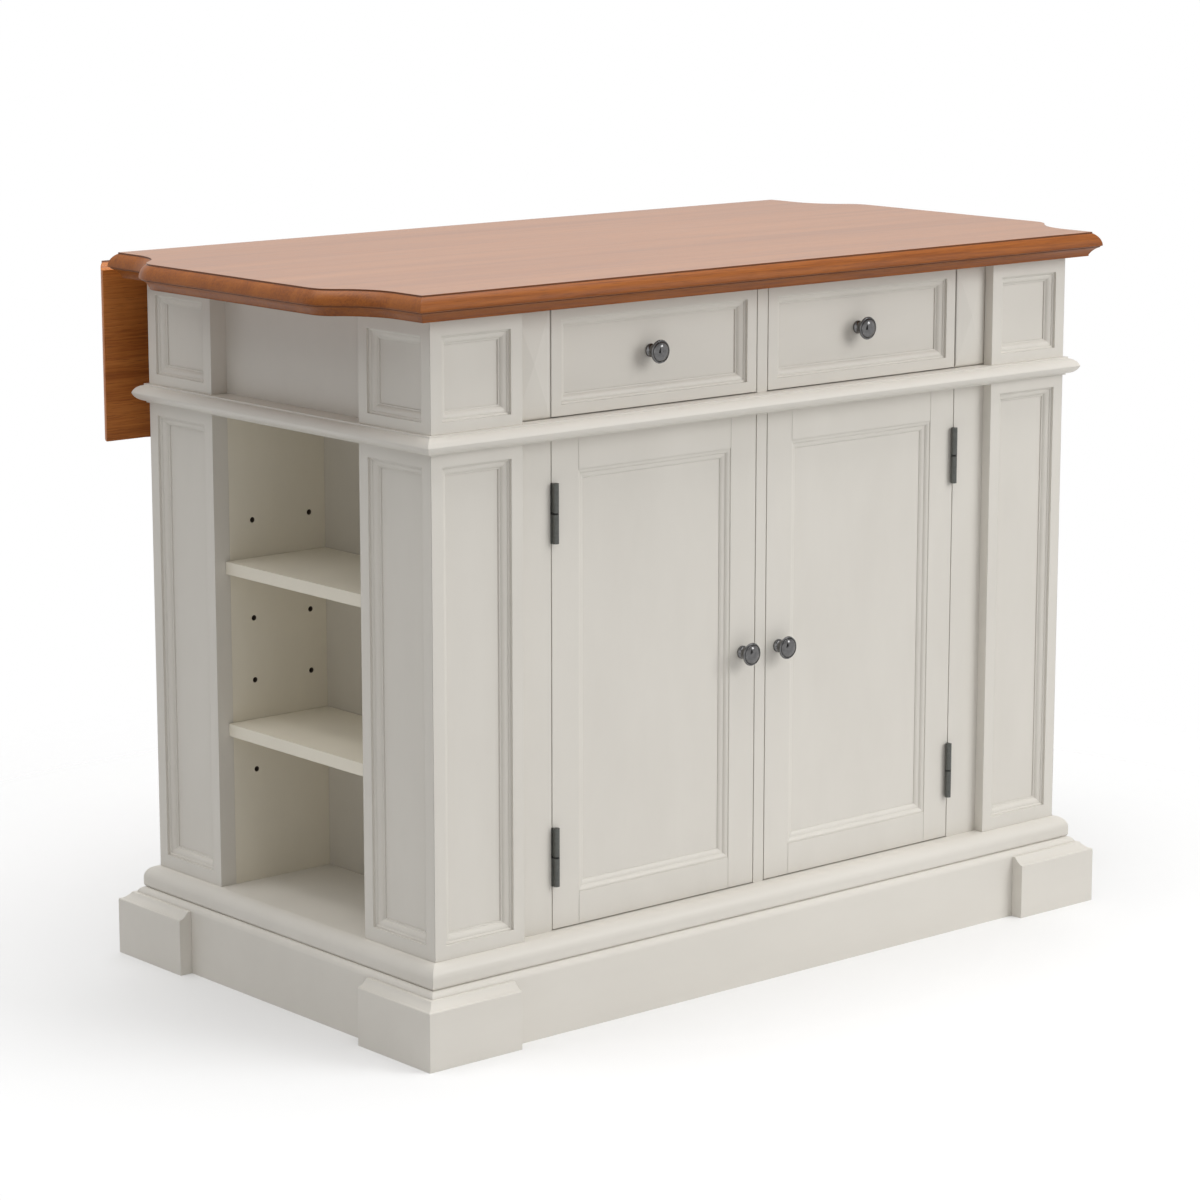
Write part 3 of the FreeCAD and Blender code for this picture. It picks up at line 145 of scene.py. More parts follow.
def shade_band(tree, axis, low, high, blur, x, y):
    """1 between two heights along an object axis, fading out over a small blur."""
    place = shader_node(tree, "ShaderNodeTexCoord", x - 600, y)
    split = shader_node(tree, "ShaderNodeSeparateXYZ", x - 400, y)
    tree.links.new(place.outputs["Object"], split.inputs["Vector"])
    height = split.outputs[axis]
    over = ranged(tree, height, (low - blur, low), (0.0, 1.0), x - 200, y)
    under = ranged(tree, height, (high, high + blur), (1.0, 0.0), x - 200, y - 200)
    both = shader_node(tree, "ShaderNodeMath", x, y, operation="MULTIPLY")
    tree.links.new(over, both.inputs[0])
    tree.links.new(under, both.inputs[1])
    return both.outputs["Value"]


def mixed(tree, amount, first, second, x, y):
    """One colour over another by an amount."""
    mix = shader_node(tree, "ShaderNodeMix", x, y, data_type="RGBA")
    tree.links.new(amount, mix.inputs["Factor"])
    tree.links.new(first, mix.inputs["A"])
    mix.inputs["B"].default_value = tuple(second) + (1.0,)
    return mix.outputs["Result"]


def antique_white(name, grain_axis, shade=(1.0, 1.0, 1.0)):
    """Satin antique white lacquer over a board whose grain runs along one axis."""
    material, tree, shader = new_finish(name)
    grain = along_axis(grain_axis, RIDGE_PITCH, RIDGE_PITCH / RIDGE_STRETCH)
    ridges = noise(tree, grain, 3.0, 0.55, -700, -200)
    clouds = noise(tree, along_axis(grain_axis, *CLOUD_PITCH), 4.0, 0.6, -700, 200)
    spray = noise(tree, [SPRAY_PITCH] * 3, 2.0, 0.5, -700, -600)
    # The shade factor scales the lacquer's colour. It carries painted shade and painted light.
    dark = [c * part for c, part in zip(PAINT_DARK, shade)]
    light = [c * part for c, part in zip(PAINT_LIGHT, shade)]
    colour = tinted(tree, clouds, [(0.30, dark), (0.70, light)], -450, 250)
    roughness = ranged(tree, clouds, (0.3, 0.7), (0.38, 0.48), -450, 0)
    arris = rounded_arris(tree, PAINT_ARRIS, -650, -850)
    sprayed = raised(tree, spray, SPRAY_DEPTH, 0.5, -420, -600, arris)
    ridged = raised(tree, ridges, RIDGE_DEPTH, 0.45, -220, -300, sprayed)
    tree.links.new(colour, shader.inputs["Base Color"])
    tree.links.new(roughness, shader.inputs["Roughness"])
    tree.links.new(ridged, shader.inputs["Normal"])
    shader.inputs["Specular IOR Level"].default_value = 0.38
    shader.inputs["Coat Weight"].default_value = 0.10
    shader.inputs["Coat Roughness"].default_value = 0.28
    return material


def finish(material, *nodes):
    """Give carried-over pieces their finish."""
    for name in nodes:
        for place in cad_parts[name].material_slots:
            place.material = material


upright_paint = antique_white("antique_white_upright", "Z")
level_paint = antique_white("antique_white_level", "X")
# The partitions' and drawer dividers' lacquer is drawn darker: painted shade.
inside_shaded_paint = antique_white("antique_white_inside_painted_shade", "Z", INSIDE_PAINTED_SHADE)
finish(upright_paint, "front_left_post", "front_right_post", "rear_left_post", "rear_right_post",
       "upper_corner_posts", "front_frame_stiles", "diamond_blocks", "back_panel")
finish(inside_shaded_paint, "partitions", "drawer_dividers")
finish(level_paint, "plinth_boards", "plinth_blocks", "base_board", "waist_board", "end_panels",
       "back_rail")

# ------------------------------------------------------------------ bay walls and shelves
# Boards of the end bays and the shelf behind the doors, drawn paler and warmer than the case as
# painted light. The walls have blind holes for the shelf pins, drilled after spraying. Between the
# two faces of each wall they are drawn almost black, painted shade over the bare board in them.
HOLE_PAINTED_SHADE = (0.090, 0.066, 0.045)
WALL_CORES = ((-0.1756, -0.1618), (0.1413, 0.1551))     # in Y, just inside the walls' faces
CORE_BLUR = 0.0003
# Painted light: the bay walls are drawn paler and warmer than the rest of the case.
bay_painted_light_and_shade = antique_white("antique_white_bay_walls_lit_and_shaded", "Z", BAY_PAINTED_LIGHT)
bay_tree = bay_painted_light_and_shade.node_tree
bay_colour_socket = bay_tree.nodes["Principled BSDF"].inputs["Base Color"]
bay_colour = bay_colour_socket.links[0].from_socket
# Painted shade: the pin holes are drawn almost black between each wall's two faces.
for index, (core_start, core_end) in enumerate(WALL_CORES):
    hole_shade = shade_band(bay_tree, "Y", core_start, core_end, CORE_BLUR, -250, 600 + 400 * index)
    bay_colour = mixed(bay_tree, hole_shade, bay_colour, HOLE_PAINTED_SHADE, -150 + 80 * index, 400)
bay_tree.links.new(bay_colour, bay_colour_socket)
finish(bay_painted_light_and_shade, "bay_walls")
# The shelves carry the same painted light.
finish(antique_white("antique_white_shelves_painted_light", "X", BAY_PAINTED_LIGHT), "bay_shelves", "centre_shelf")

# ------------------------------------------------------------------ doors and drawer fronts
# Two frame and panel doors and two moulded drawer fronts, sprayed with the same lacquer off the
# case. The grain stands upright in the doors and lies level in the drawer fronts.
finish(upright_paint, "left_door_frame", "right_door_frame", "left_door_panel", "right_door_panel",
       "left_door_moulding", "right_door_moulding")
finish(level_paint, "left_drawer_front", "right_drawer_front")

# ------------------------------------------------------------------ top board, edge layer and leaf
# Solid oak stained a warm orange brown and varnished. The grain runs the length of the top, with
# fine dark pores and broad bands. The leaf keeps the stain at full strength, paler than the top:
# painted light. The top's broad faces are drawn greyer than its moulded edges, a painted sheen, and
# carry more varnish. Painted shade darkens the fillet under the arris of the top and of the leaf,
# and the seam between board and edge layer.
STAIN_PALE = (0.520, 0.180, 0.040)
STAIN_MIDDLE = (0.445, 0.144, 0.028)
STAIN_DEEP = (0.315, 0.092, 0.016)
PORE_DARK = (0.130, 0.037, 0.009)
# Painted shade, laid in the fillets and in the seam.
CREVICE_PAINTED_SHADE = (0.125, 0.038, 0.010)
EDGE_SHARE_OF_LEAF = (0.60, 0.53, 0.30)     # how much of the leaf's colour the top's moulded edges keep
FACE_SHARE_WITH_SHEEN = (0.60, 0.67, 0.85)     # and how much its broad face keeps, drawn greyer as a painted sheen
EDGE_COAT, FACE_COAT = 0.04, 0.54   # weight of the varnish on both
RING_PITCH = (1.1, 34.0, 22.0)      # bands of the year rings, per metre along each axis
FIBRE_PITCH = (11.0, 520.0, 420.0)
FIBRE_DEPTH = 0.00005
PORE_PITCH = (42.0, 1500.0, 1300.0)
PORE_DEPTH = 0.00008
WOOD_ARRIS = 0.0008
BAND_BLUR = 0.0004                  # how softly the painted shade ends
TOP_BOARD_THICK = 0.020
FILLET_BAND = (-0.0019, -0.0005)    # painted shade in the fillet, in metres from the board's broad face
SEAM_BAND = (-0.0005, 0.0006)       # painted shade in the seam under the top board, in metres from the seam


def level_faces(tree, x, y):
    """1 on faces that look straight up or down, 0 on moulded and upright ones."""
    shape = shader_node(tree, "ShaderNodeNewGeometry", x - 400, y)
    split = shader_node(tree, "ShaderNodeSeparateXYZ", x - 200, y)
    tree.links.new(shape.outputs["True Normal"], split.inputs["Vector"])
    steep = shader_node(tree, "ShaderNodeMath", x, y, operation="ABSOLUTE")
    tree.links.new(split.outputs["Z"], steep.inputs[0])
    return ranged(tree, steep.outputs["Value"], (0.90, 0.99), (0.0, 1.0), x + 200, y)


def stained_wood(name, colours, pore_colour, pore_amount, roughness, bands=(), moulded=False):
    """Varnished wood with its grain along X; bands lists (axis, low, high) of painted shade."""
    material, tree, shader = new_finish(name)
    rings = noise(tree, RING_PITCH, 5.0, 0.66, -1100, 300, 0.6)
    fibre = noise(tree, FIBRE_PITCH, 4.0, 0.66, -1100, 0, 0.3)
    pores = noise(tree, PORE_PITCH, 2.0, 0.5, -1100, -300)
    figure = shader_node(tree, "ShaderNodeMix", -850, 200, data_type="FLOAT")
    figure.inputs["Factor"].default_value = 0.55
    tree.links.new(rings, figure.inputs["A"])
    tree.links.new(fibre, figure.inputs["B"])
    pale, middle, deep = colours
    colour = tinted(tree, figure.outputs["Result"],
                    [(0.39, deep), (0.50, middle), (0.61, pale)], -650, 250)
    pore_mask = ranged(tree, pores, (0.58, 0.70), (0.0, pore_amount), -850, -300)
    colour = mixed(tree, pore_mask, colour, pore_colour, -350, 200)
    if moulded:
        # Level faces are drawn greyer than the moulded edges, a painted sheen, and get more
        # varnish.
        level = level_faces(tree, -1100, 800)
        kept = tinted(tree, level, [(0.0, EDGE_SHARE_OF_LEAF), (1.0, FACE_SHARE_WITH_SHEEN)], -650, 800)
        edge_and_face_tone = shader_node(tree, "ShaderNodeMix", -250, 500, data_type="RGBA",
                               blend_type="MULTIPLY")
        edge_and_face_tone.inputs["Factor"].default_value = 1.0
        tree.links.new(colour, edge_and_face_tone.inputs["A"])
        tree.links.new(kept, edge_and_face_tone.inputs["B"])
        colour = edge_and_face_tone.outputs["Result"]
        varnish = ranged(tree, level, (0.0, 1.0), (EDGE_COAT, FACE_COAT), -450, -800)
        tree.links.new(varnish, shader.inputs["Coat Weight"])
    # Painted shade darkens each band.
    for index, (axis, low, high) in enumerate(bands):
        band = shade_band(tree, axis, low, high, BAND_BLUR, -500, 600 + 300 * index)
        colour = mixed(tree, band, colour, CREVICE_PAINTED_SHADE, -150 + 150 * index, 400)
    arris = rounded_arris(tree, WOOD_ARRIS, -900, -600)
    open_pores = raised(tree, pore_mask, -PORE_DEPTH, 0.4, -500, -450, arris)
    grained = raised(tree, fibre, FIBRE_DEPTH, 0.3, -250, -300, open_pores)
    worn = ranged(tree, fibre, (0.3, 0.7), roughness, -650, -50)
    tree.links.new(colour, shader.inputs["Base Color"])
    tree.links.new(worn, shader.inputs["Roughness"])
    tree.links.new(grained, shader.inputs["Normal"])
    shader.inputs["Specular IOR Level"].default_value = 0.26
    shader.inputs["Coat Weight"].default_value = 0.10
    shader.inputs["Coat Roughness"].default_value = 0.34
    return material


def band_from(axis, place, band):
    """A band of painted shade, given from a place along an axis."""
    return axis, place + band[0], place + band[1]


oak_colours = (STAIN_PALE, STAIN_MIDDLE, STAIN_DEEP)
top_z, rear_y = cad_high[2], cad_high[1]
top_bands = [band_from("Z", top_z, FILLET_BAND),
             band_from("Z", top_z - TOP_BOARD_THICK, SEAM_BAND)]
top_oak = stained_wood("stained_oak_top", oak_colours, PORE_DARK, 0.5, (0.36, 0.48),
                       top_bands, True)
# The leaf keeps the stain at full strength, painted lighter than the top's same oak.
leaf_oak = stained_wood("stained_oak_leaf", oak_colours, PORE_DARK, 0.6, (0.38, 0.50),
                        [band_from("Y", rear_y, FILLET_BAND)])
finish(top_oak, "countertop_board", "countertop_edge_layer")
finish(leaf_oak, "drop_leaf")

# ------------------------------------------------------------------ drawer boxes and cleats
# Drawer sides, backs and bottoms, and the cleats under the top. They are sanded birch without
# varnish, with the same grain as the stained wood.
BIRCH_PALE = (0.640, 0.470, 0.290)
BIRCH_MIDDLE = (0.560, 0.390, 0.225)
BIRCH_DEEP = (0.460, 0.300, 0.160)
BIRCH_PORE = (0.36, 0.22, 0.11)
birch = stained_wood("bare_birch", (BIRCH_PALE, BIRCH_MIDDLE, BIRCH_DEEP), BIRCH_PORE, 0.3,
                     (0.55, 0.70))
birch.node_tree.nodes["Principled BSDF"].inputs["Coat Weight"].default_value = 0.0
finish(birch, "left_drawer_box", "right_drawer_box", "top_fixing_cleats")

# ------------------------------------------------------------------ hinges, stays and catches
# Pressed steel. The hinges are plated an antique grey, with painted shade where their two knuckles
# meet, the stays and slides are zinc plated, and the catch housings are white moulded plastic.
HINGE_TINT = (0.112, 0.115, 0.106)
HINGE_JOINTS = (0.211, 0.634)   # heights where the two knuckles of a door hinge meet
JOINT_SHADE_HALF = 0.0010               # half height of the painted shade there, and how softly it ends
JOINT_SHADE_BLUR = 0.0003
# The hinge pins' own oiled colour, also used as painted shade at the knuckle joints.
OIL_AND_JOINT_SHADE_TINT = (0.020, 0.019, 0.018)
ZINC_TINT = (0.560, 0.565, 0.570)
MOTTLE_PITCH = 220.0
MOTTLE_SHADE = 0.74             # how dark the mottling gets, as a part of the tint
SCUFF_PITCH = (160.0, 2600.0, 2600.0)
SCUFF_DEPTH = 0.00002


def plated_steel(name, tint, metallic, roughness, arris):
    """Plated steel with fine scuffs."""
    material, tree, shader = new_finish(name)
    shader.inputs["Metallic"].default_value = metallic
    mottled = noise(tree, [MOTTLE_PITCH] * 3, 4.0, 0.6, -700, 200)
    scuffs = noise(tree, SCUFF_PITCH, 2.0, 0.6, -700, -200)
    dark = [c * MOTTLE_SHADE for c in tint]
    colour = tinted(tree, mottled, [(0.3, dark), (0.62, tint)], -450, 200)
    worn = ranged(tree, mottled, (0.3, 0.7), roughness, -450, 0)
    soft = rounded_arris(tree, arris, -700, -500)
    scuffed = raised(tree, scuffs, SCUFF_DEPTH, 0.4, -300, -300, soft)
    tree.links.new(colour, shader.inputs["Base Color"])
    tree.links.new(worn, shader.inputs["Roughness"])
    tree.links.new(scuffed, shader.inputs["Normal"])
    return material


hinge_plate = plated_steel("antique_hinge_plate", HINGE_TINT, 0.35, (0.40, 0.54), 0.0005)
hinge_tree = hinge_plate.node_tree
hinge_colour_socket = hinge_tree.nodes["Principled BSDF"].inputs["Base Color"]
hinge_colour = hinge_colour_socket.links[0].from_socket
# Painted shade at the joints of the knuckles.
for index, joint_z in enumerate(HINGE_JOINTS):
    joint_shade = shade_band(hinge_tree, "Z", joint_z - JOINT_SHADE_HALF, joint_z + JOINT_SHADE_HALF, JOINT_SHADE_BLUR,
                         -300, 500 + 400 * index)
    hinge_colour = mixed(hinge_tree, joint_shade, hinge_colour, OIL_AND_JOINT_SHADE_TINT, -150 + 120 * index, 350)
hinge_tree.links.new(hinge_colour, hinge_colour_socket)
zinc_plate = plated_steel("zinc_plate", ZINC_TINT, 1.0, (0.28, 0.42), 0.0004)
oiled_steel = plated_steel("oiled_hinge_pins", OIL_AND_JOINT_SHADE_TINT, 0.6, (0.45, 0.60), 0.0003)
finish(hinge_plate, "door_hinge_frame_leaves", "left_door_hinge_leaves", "right_door_hinge_leaves",
       "leaf_hinge_top_plates", "leaf_hinge_leaf_plates")
finish(oiled_steel, "door_hinge_pins", "leaf_hinge_pins")
finish(zinc_plate, "left_drawer_slides", "right_drawer_slides", "drawer_slide_channels",
       "stay_brackets", "stay_pivot_pins", "stay_tracks", "left_stay_arm", "right_stay_arm",
       "left_door_strike", "right_door_strike")
CATCH_DARK = (0.74, 0.72, 0.67)
CATCH_PALE = (0.80, 0.78, 0.74)
CATCH_PITCH = 900.0
CATCH_DEPTH = 0.00005
catch_plastic, catch_tree, catch_shader = new_finish("catch_plastic")
catch_grain = noise(catch_tree, [CATCH_PITCH] * 3, 2.0, 0.5, -700, 0)
catch_colour = tinted(catch_tree, catch_grain, [(0.3, CATCH_DARK), (0.7, CATCH_PALE)], -450, 100)
catch_bumps = raised(catch_tree, catch_grain, CATCH_DEPTH, 0.4, -300, -200)
catch_tree.links.new(catch_colour, catch_shader.inputs["Base Color"])
catch_tree.links.new(catch_bumps, catch_shader.inputs["Normal"])
finish(catch_plastic, "door_catches")

# ------------------------------------------------------------------ screws
# Countersunk cross-head wood screws, turned in flush with the plates that they hold. Each stands at
# its own random turn. The ones in the doors are plated like the hinges, all the others with zinc.
MM = 0.001
DEPTH_MIDDLE = 10.25            # millimetres in Y from the case's middle to the whole island's
CROSS_ARM = 1.9                 # reach and half width of the cross recess, in millimetres
CROSS_HALF = 0.42


def placed(x, y, z):
    """A point of the case, measured from its own middle in millimetres, in metres of the frame."""
    return Vector((x, y - DEPTH_MIDDLE, z)) * MM


def cross_reach(angle):
    """How far the outline of a cross recess lies from its middle at an angle."""
    side = abs(math.cos(angle)), abs(math.sin(angle))
    return min(CROSS_ARM / max(side), CROSS_HALF / max(min(side), 1e-9))


def fastener_mesh(name, rings):
    """A closed turned body about Z; rings lists (radius, or None for the cross, its share, z)."""
    tip = math.degrees(math.atan2(CROSS_HALF, CROSS_ARM))
    quarter = [0.0, tip, 30.0, 45.0, 60.0, 90.0 - tip]
    angles = [math.radians(turn * 90 + a) for turn in range(4) for a in quarter]
    points, faces = [], []
    for radius, share, z in rings:
        for angle in angles:
            reach = cross_reach(angle) * share if radius is None else radius
            points.append((reach * math.cos(angle) * MM, reach * math.sin(angle) * MM, z * MM))
    count = len(angles)
    for ring in range(len(rings) - 1):
        for k in range(count):
            a, b = ring * count + k, ring * count + (k + 1) % count
            faces.append((a, a + count, b + count, b))
    faces.append(tuple(range(count)))
    faces.append(tuple(range(len(points) - 1, len(points) - 1 - count, -1)))
    mesh = bpy.data.meshes.new(name)
    mesh.from_pydata(points, [], faces)
    mesh.polygons.foreach_set("use_smooth", [True] * len(mesh.polygons))
    mesh.set_sharp_from_angle(angle=math.radians(35))
    return mesh


def fastener_group():
    """Stands one fastener on every point, along its axis and at a random turn."""
    tree = bpy.data.node_groups.new("fasteners_on_points", "GeometryNodeTree")
    for name, kind in (("Places", "NodeSocketGeometry"), ("Fastener", "NodeSocketObject"),
                       ("Finish", "NodeSocketMaterial"), ("Seed", "NodeSocketInt")):
        tree.interface.new_socket(name, in_out="INPUT", socket_type=kind)
    tree.interface.new_socket("Fasteners", in_out="OUTPUT", socket_type="NodeSocketGeometry")
    given = tree.nodes.new("NodeGroupInput")
    template = tree.nodes.new("GeometryNodeObjectInfo")
    axis = tree.nodes.new("GeometryNodeInputNamedAttribute")
    axis.data_type = "FLOAT_VECTOR"
    axis.inputs["Name"].default_value = "axis"
    stand = tree.nodes.new("FunctionNodeAlignRotationToVector")
    stand.axis = "Z"
    chance = tree.nodes.new("FunctionNodeRandomValue")
    chance.data_type = "FLOAT"
    highest = [socket for socket in chance.inputs if socket.enabled and socket.name == "Max"][0]
    highest.default_value = math.tau
    drawn = [socket for socket in chance.outputs if socket.enabled][0]
    spin = tree.nodes.new("FunctionNodeAxisAngleToRotation")
    turned = tree.nodes.new("FunctionNodeRotateRotation")
    turned.rotation_space = "LOCAL"
    stood = tree.nodes.new("GeometryNodeInstanceOnPoints")
    solid = tree.nodes.new("GeometryNodeRealizeInstances")
    coated = tree.nodes.new("GeometryNodeSetMaterial")
    result = tree.nodes.new("NodeGroupOutput")
    link = tree.links.new
    link(given.outputs["Fastener"], template.inputs["Object"])
    link(axis.outputs["Attribute"], stand.inputs["Vector"])
    link(given.outputs["Seed"], chance.inputs["Seed"])
    link(drawn, spin.inputs["Angle"])
    link(stand.outputs["Rotation"], turned.inputs["Rotation"])
    link(spin.outputs["Rotation"], turned.inputs["Rotate By"])
    link(given.outputs["Places"], stood.inputs["Points"])
    link(template.outputs["Geometry"], stood.inputs["Instance"])
    link(turned.outputs["Rotation"], stood.inputs["Rotation"])
    link(stood.outputs["Instances"], solid.inputs["Geometry"])
    link(solid.outputs["Geometry"], coated.inputs["Geometry"])
    link(given.outputs["Finish"], coated.inputs["Material"])
    link(coated.outputs["Geometry"], result.inputs["Fasteners"])
    return tree


fasteners_on_points = fastener_group()


def stand_fasteners(name, mesh, spots, material, seed, body, node):
    """Fasteners at spots, each (point, direction out of its head), as one piece on a body."""
    places = bpy.data.meshes.new(name + "_places")
    places.from_pydata([point for point, out in spots], [], [])
    axes = places.attributes.new("axis", "FLOAT_VECTOR", "POINT")
    axes.data.foreach_set("vector", [value for point, out in spots for value in out])
    holder = bpy.data.objects.new(name + "_places", places)
    template = bpy.data.objects.new(name + "_template", mesh)
    bpy.context.collection.objects.link(holder)
    bpy.context.collection.objects.link(template)
    modifier = holder.modifiers.new("stand", "NODES")
    modifier.node_group = fasteners_on_points
    inputs = {item.name: item.identifier for item in fasteners_on_points.interface.items_tree
              if item.in_out == "INPUT"}
    modifier[inputs["Fastener"]] = template
    modifier[inputs["Finish"]] = material
    modifier[inputs["Seed"]] = seed
    seen = holder.evaluated_get(bpy.context.evaluated_depsgraph_get())
    made = bpy.data.meshes.new_from_object(seen)
    holder.modifiers.remove(modifier)
    bpy.data.objects.remove(holder)
    bpy.data.objects.remove(template)
    if "axis" in made.attributes:
        made.attributes.remove(made.attributes["axis"])
    made.name = name
    piece = bpy.data.objects.new(name, made)
    bpy.context.collection.objects.link(piece)
    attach(piece, body)
    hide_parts(node)


wood_screw = fastener_mesh("wood_screw", [
    (None, 0.72, -1.35), (None, 1.0, 0.0), (3.50, 1, 0.0), (3.60, 1, -0.12), (1.90, 1, -1.80),
    (1.80, 1, -9.5), (0.35, 1, -12.0)])
up, down, back_way, front_way = (0, 0, 1), (0, 0, -1), (0, 1, 0), (0, -1, 0)
# Places in millimetres of the case: X from its middle, Y from its middle, Z from the floor.
PIN_Y, PIN_Z = 323.0, 888.5     # line of the leaf's hinge pins
LEAF_FACE_Y = PIN_Y + 7.5       # inner face of the hanging leaf
HINGE_MIDDLES = (-330.0, 0.0, 330.0)
HINGE_SCREW_X = 16.0            # a leaf hinge's screws, to each side of its middle
HINGE_SCREW_RUNS = (8.0, 20.0)  # and from the edge of its plate
TOP_PLATE_Y, TOP_PLATE_Z = 275.0, 880.0
LEAF_PLATE_DROP, LEAF_PLATE_THICK = 32.0, 2.0
STAY_X, STAY_Z = 230.0, 798.5
BRACKET_SCREWS = (11.0, 21.0)   # a stay bracket's screws, across and up from its middle
BRACKET_FACE_Y = 277.0
TRACK_THICK = 1.5
TRACK_SCREW_DROPS = (125.0, 238.0)
case_spots, leaf_spots = [], []
for hinge_x in HINGE_MIDDLES:
    for screw_x in (hinge_x - HINGE_SCREW_X, hinge_x + HINGE_SCREW_X):
        for run in HINGE_SCREW_RUNS:
            case_spots.append((placed(screw_x, TOP_PLATE_Y + run, TOP_PLATE_Z), down))
            leaf_spots.append((placed(screw_x, LEAF_FACE_Y - LEAF_PLATE_THICK,
                                      PIN_Z - LEAF_PLATE_DROP + run), front_way))
for side in (-1, 1):
    for bolt_z in (STAY_Z - BRACKET_SCREWS[1], STAY_Z + BRACKET_SCREWS[1]):
        for bolt_x in (side * STAY_X - BRACKET_SCREWS[0], side * STAY_X + BRACKET_SCREWS[0]):
            case_spots.append((placed(bolt_x, BRACKET_FACE_Y, bolt_z), back_way))
    for drop in TRACK_SCREW_DROPS:
        leaf_spots.append((placed(side * STAY_X, LEAF_FACE_Y - TRACK_THICK, PIN_Z - drop),
                           front_way))
FRONT_Y = -274.0                # face of the front frame and of the doors
FRAME_LEAF_X, DOOR_LEAF_X = 341.9, 341.6    # faces of a door hinge's two leaves
DOOR_HINGE_HEIGHTS = (211.0, 634.0)
DOOR_SCREWS = ((11.5, -24.0), (7.0, 0.0), (11.5, 24.0))     # in from the front, up from the middle
door_spots = {"left": [], "right": []}
for side, name in ((-1, "left"), (1, "right")):
    for hinge_z in DOOR_HINGE_HEIGHTS:
        for depth, along in DOOR_SCREWS:
            screw_y, screw_z = FRONT_Y + depth, hinge_z + along
            case_spots.append((placed(side * FRAME_LEAF_X, screw_y, screw_z), (-side, 0, 0)))
            door_spots[name].append((placed(side * DOOR_LEAF_X, screw_y, screw_z), (side, 0, 0)))
stand_fasteners("case_screws", wood_screw, case_spots, zinc_plate, 11, "cabinet",
                "fixed_hardware_screws")
stand_fasteners("leaf_screws", wood_screw, leaf_spots, zinc_plate, 12, "leaf",
                "leaf_hardware_screws")
for seed, name in ((13, "left"), (14, "right")):
    stand_fasteners(name + "_hinge_screws", wood_screw, door_spots[name], hinge_plate, seed,
                    name + "_door", name + "_door_hinge_screws")

# ------------------------------------------------------------------ shelf pins
# Turned steel pins pushed into blind holes, with a thin collar against the wall and a rounded end
# that the shelf rests on.
PIN_DROP = 19.5                 # from a shelf's top to its pins' middle
END_X = 534.0                   # outer end of the bay walls
BAY_PIN_COLUMNS = (58.0, 146.0)     # in from that end
BAY_WALL_Y = 151.0              # inner faces of the bay walls
BAY_SHELF_TOPS = (328.5, 536.5)
PARTITION_X = 345.0             # faces of the partitions toward the cupboard
CENTRE_PIN_COLUMNS = (-170.0, 190.0)
CENTRE_SHELF_TOP = 420.0
shelf_pin = fastener_mesh("shelf_pin", [
    (1.2, 1, 8.0), (2.6, 1, 7.8), (3.3, 1, 7.2), (3.5, 1, 6.2), (3.5, 1, 0.6), (4.3, 1, 0.55),
    (4.4, 1, 0.4), (4.4, 1, 0.0), (3.5, 1, 0.0), (3.5, 1, -9.4), (2.8, 1, -10.0)])
pin_spots = []
for side in (-1, 1):
    for shelf_top in BAY_SHELF_TOPS:
        for column in BAY_PIN_COLUMNS:
            for wall in (-1, 1):
                pin_spots.append((placed(side * (END_X - column), wall * BAY_WALL_Y,
                                         shelf_top - PIN_DROP), (0, -wall, 0)))
    for column_y in CENTRE_PIN_COLUMNS:
        pin_spots.append((placed(side * PARTITION_X, column_y, CENTRE_SHELF_TOP - PIN_DROP),
                          (-side, 0, 0)))
stand_fasteners("turned_shelf_pins", shelf_pin, pin_spots, zinc_plate, 15, "cabinet",
                "shelf_pins")

# ------------------------------------------------------------------ knobs
# Turned mushroom knobs plated a dark gunmetal, with a flat ring round a low crown, one on each
# door and drawer. A machine screw with a pan head holds each from behind.
GUNMETAL = (0.165, 0.163, 0.163)
gunmetal = plated_steel("gunmetal_knob", GUNMETAL, 1.0, (0.10, 0.18), 0.0003)


def arc_points(start, end, rise, steps):
    """Points after start, up to end, of an arc that rises to the right of the way between them."""
    a, b = Vector(start), Vector(end)
    chord = b - a
    half = chord.length / 2
    radius = (half * half + rise * rise) / (2 * abs(rise))
    aside = Vector((chord.y, -chord.x)).normalized() * math.copysign(1.0, rise)
    centre = (a + b) / 2 + aside * (abs(rise) - radius)
    spread = 2 * math.asin(min(1.0, half / radius))
    first = a - centre
    sense = 1.0 if rise > 0 else -1.0
    points = []
    for k in range(1, steps + 1):
        turned = first.copy()
        turned.rotate(Matrix.Rotation(sense * spread * k / steps, 2))
        points.append(tuple(centre + turned))
    return points


def knob_profile():
    """Radius and height from the middle of the foot, out and up, to the middle of the crown."""
    points = [(0.0, 0.0), (8.1, 0.0), (8.3, 0.2), (8.3, 2.2), (8.05, 2.5)]
    points += arc_points((8.05, 2.5), (5.6, 7.5), -0.9, 6)
    points += [(5.6, 12.0)]
    points += arc_points((5.6, 12.0), (13.1, 16.75), -1.25, 8)
    points += arc_points((13.1, 16.75), (13.1, 19.75), 1.45, 10)
    points += [(12.75, 19.6), (12.5, 19.1), (12.2, 18.9), (11.9, 19.1), (11.75, 19.9), (11.4, 20.4)]
    points += arc_points((11.4, 20.4), (0.0, 22.98), 1.1, 12)
    return points


